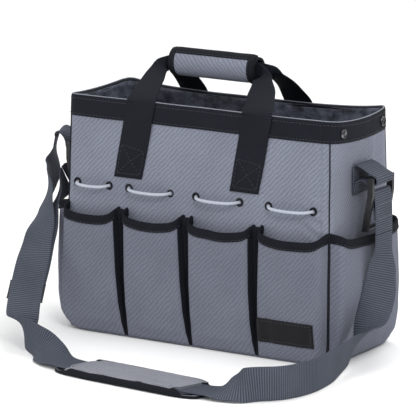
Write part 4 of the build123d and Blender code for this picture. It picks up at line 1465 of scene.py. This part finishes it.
def build_pad():
    low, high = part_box("shoulder_pad_binding")
    centre = ((low[0] + high[0]) / 2, (low[1] + high[1]) / 2)
    length, width = PAD_LENGTH / 2, PAD_WIDTH / 2
    top_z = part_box("shoulder_pad")[1][2]
    size = (length - 2.5 * MM, width - 2.5 * MM)

    def skin(name, height, material, under, first=None, last=None):
        rows = []
        for i in range(33):
            b = 2 * i / 32 - 1
            row = []
            for j in range(97):
                start = -1 if first is None else first(b)
                end = 1 if last is None else last(b)
                a = mix(start, end, j / 96)
                t = 2 * j / 96 - 1
                edge = max(abs(t) ** 3 if first else abs(a), abs(b))
                puff = (1 - edge**6) ** 0.5
                crease = 0.7 * MM * ripple(a * 0.16, b * 0.03, 0, 0.024, 3.0)
                crease += 0.35 * MM * ripple(a * 0.1, b * 0.05, 0, 0.008, 4.0)
                row.append(pad_spot(a, b, centre, size, height(puff) + crease * puff))
            rows.append(row if not under else row[::-1])
        return sheet_solid(name, rows, 1.0 * MM, material, "bag", outer=0.5)

    top = skin(
        "shoulder_pad_cover", lambda puff: mix(5.8 * MM, top_z + 0.6 * MM, puff), PAD_GREY, False,
        lambda b: pad_cover_end(b, -1), lambda b: pad_cover_end(b, 1),
    )
    base = skin("shoulder_pad_base", lambda puff: mix(3.1 * MM, 3.3 * MM, puff), PAD_GREY, False)
    under = skin("shoulder_pad_underside", lambda puff: mix(2.4 * MM, 2.1 * MM, puff), BLACK_CLOTH_AND_SHADE, True)
    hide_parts("shoulder_pad")
    walk = [(1, mix(-1, 1, k / 20)) for k in range(20)] + [(mix(1, -1, k / 80), 1) for k in range(80)]
    walk += [(-1, mix(1, -1, k / 20)) for k in range(20)] + [(mix(-1, 1, k / 80), -1) for k in range(81)]
    full = (length - 1.2 * MM, width - 1.2 * MM)
    sections = []
    for height, inset in ((1.2, 6.5), (0.8, 3.0), (1.4, 0.6), (4.2, 0.0), (7.0, 0.8), (8.2, 3.0), (8.4, 6.8)):
        row = []
        for a, b in walk[:-1]:
            inner = (full[0] - inset * MM, full[1] - inset * MM)
            lowered = mix(1.0, 0.42, smooth(PAD_COVER_END - 0.04, PAD_COVER_END + 0.1, abs(a)))
            wave = 0.35 * MM * ripple(a, b, 0, 0.3, 5.5)
            row.append(pad_spot(a, b, centre, inner, max(height * lowered, 1.0) * MM + wave * lowered))
        sections.append(row)
    tape = sheet_solid("shoulder_pad_tape", sections, 0.9 * MM, BLACK_TAPE, "bag", closed=True, outer=0.5)
    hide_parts("shoulder_pad_binding")
    seams = []
    for sign in (-1, 1):
        line = []
        for k in range(41):
            b = mix(-0.88, 0.88, k / 40)
            rise = mix(6.2 * MM, 8.4 * MM, 1 - abs(b) ** 6)
            line.append(pad_spot(pad_cover_end(b, sign), b, centre, size, rise))
        label = "left" if sign < 0 else "right"
        seams.append(round_tube(f"shoulder_pad_piping_{label}", line, 0.9 * MM, EDGE_TAPE_AND_HIGHLIGHT, "bag", sides=10))
    sewn = (full[0] - 5.4 * MM, full[1] - 5.4 * MM)
    row = []
    for a, b in walk:
        if abs(a) < PAD_COVER_END - 0.05:
            row.append((pad_spot(a, b, centre, sewn, 9.0 * MM), Vector((0, 0, 1))))
    half = len(row) // 2
    sewing = stitches("pad_stitches", [row[:half], row[half:]], BLACK_THREAD, "bag")
    return [top, base, under, tape, sewing] + seams


# ---------------------------------------------------------------- stage, light and camera

CAMERA_AZIMUTH = math.radians(31.9)
CAMERA_ELEVATION = math.radians(12.1)
CAMERA_DISTANCE = 4.0
CAMERA_LENS = 299.8
CAMERA_ASIDE = 0.0215
CAMERA_RAISE = 0.0088


def build_stage():
    floor_material, tree, shader = new_material("studio_floor", 0.9, specular=0.1)
    where = coordinates(tree, False)
    shade = grain(tree, where, 3.0, 2.0)
    link(tree, ramp(tree, shade, (0.9, 0.9, 0.9), (0.93, 0.93, 0.93)), shader.inputs["Base Color"])
    size = 6.0
    verts = [(-size, -size, 0), (size, -size, 0), (size, size, 0), (-size, size, 0)]
    mesh = bpy.data.meshes.new("floor")
    mesh.from_pydata(verts, [], [(0, 1, 2, 3)])
    mesh.materials.append(floor_material)
    floor = bpy.data.objects.new("floor", mesh)
    bpy.context.scene.collection.objects.link(floor)
    world = bpy.data.worlds.new("studio")
    world.use_nodes = True
    world.node_tree.nodes["Background"].inputs["Color"].default_value = (1, 1, 1, 1)
    world.node_tree.nodes["Background"].inputs["Strength"].default_value = 1.05
    bpy.context.scene.world = world
    bpy.context.scene.view_settings.view_transform = "Standard"


def area_light(name, place, target, size, power):
    lamp = bpy.data.lights.new(name, "AREA")
    lamp.shape = "DISK"
    lamp.size = size
    lamp.energy = power
    made = bpy.data.objects.new(name, lamp)
    made.location = place
    made.rotation_euler = (Vector(target) - Vector(place)).to_track_quat("-Z", "Y").to_euler()
    bpy.context.scene.collection.objects.link(made)


def build_lights():
    area_light("key", (1.5, -1.5, 1.6), (0, 0, 0.15), 0.7, 26)
    area_light("fill", (-1.4, -1.4, 0.9), (0, 0, 0.15), 1.2, 5)
    area_light("top", (0.1, 0.5, 2.0), (0, 0, 0.2), 1.2, 12)


def build_camera():
    back = Vector((
        math.sin(CAMERA_AZIMUTH) * math.cos(CAMERA_ELEVATION),
        -math.cos(CAMERA_AZIMUTH) * math.cos(CAMERA_ELEVATION),
        math.sin(CAMERA_ELEVATION),
    ))
    right = Vector((math.cos(CAMERA_AZIMUTH), math.sin(CAMERA_AZIMUTH), 0))
    up = back.cross(right)
    target = Vector((0, 0, 0.145)) - right * CAMERA_ASIDE + up * CAMERA_RAISE
    lens = bpy.data.cameras.new("camera")
    lens.lens = CAMERA_LENS
    lens.sensor_width = 36
    lens.clip_end = 100
    camera = bpy.data.objects.new("camera", lens)
    camera.location = target + back * CAMERA_DISTANCE
    camera.rotation_euler = (-back).to_track_quat("-Z", "Y").to_euler()
    bpy.context.scene.collection.objects.link(camera)
    bpy.context.scene.camera = camera


build_stage()
build_lights()
build_camera()
build_base()
build_board()
build_shell()
build_lining()
build_rim()
build_piping()
FRONT_POCKETS = build_pockets()
build_gussets()
build_label(FRONT_POCKETS[3])
build_tool_loops()
build_handle("front", -1, on_front)
build_handle("back", 1, on_back)
build_grip()
build_strap(build_pad())
build_tabs()
build_hardware()
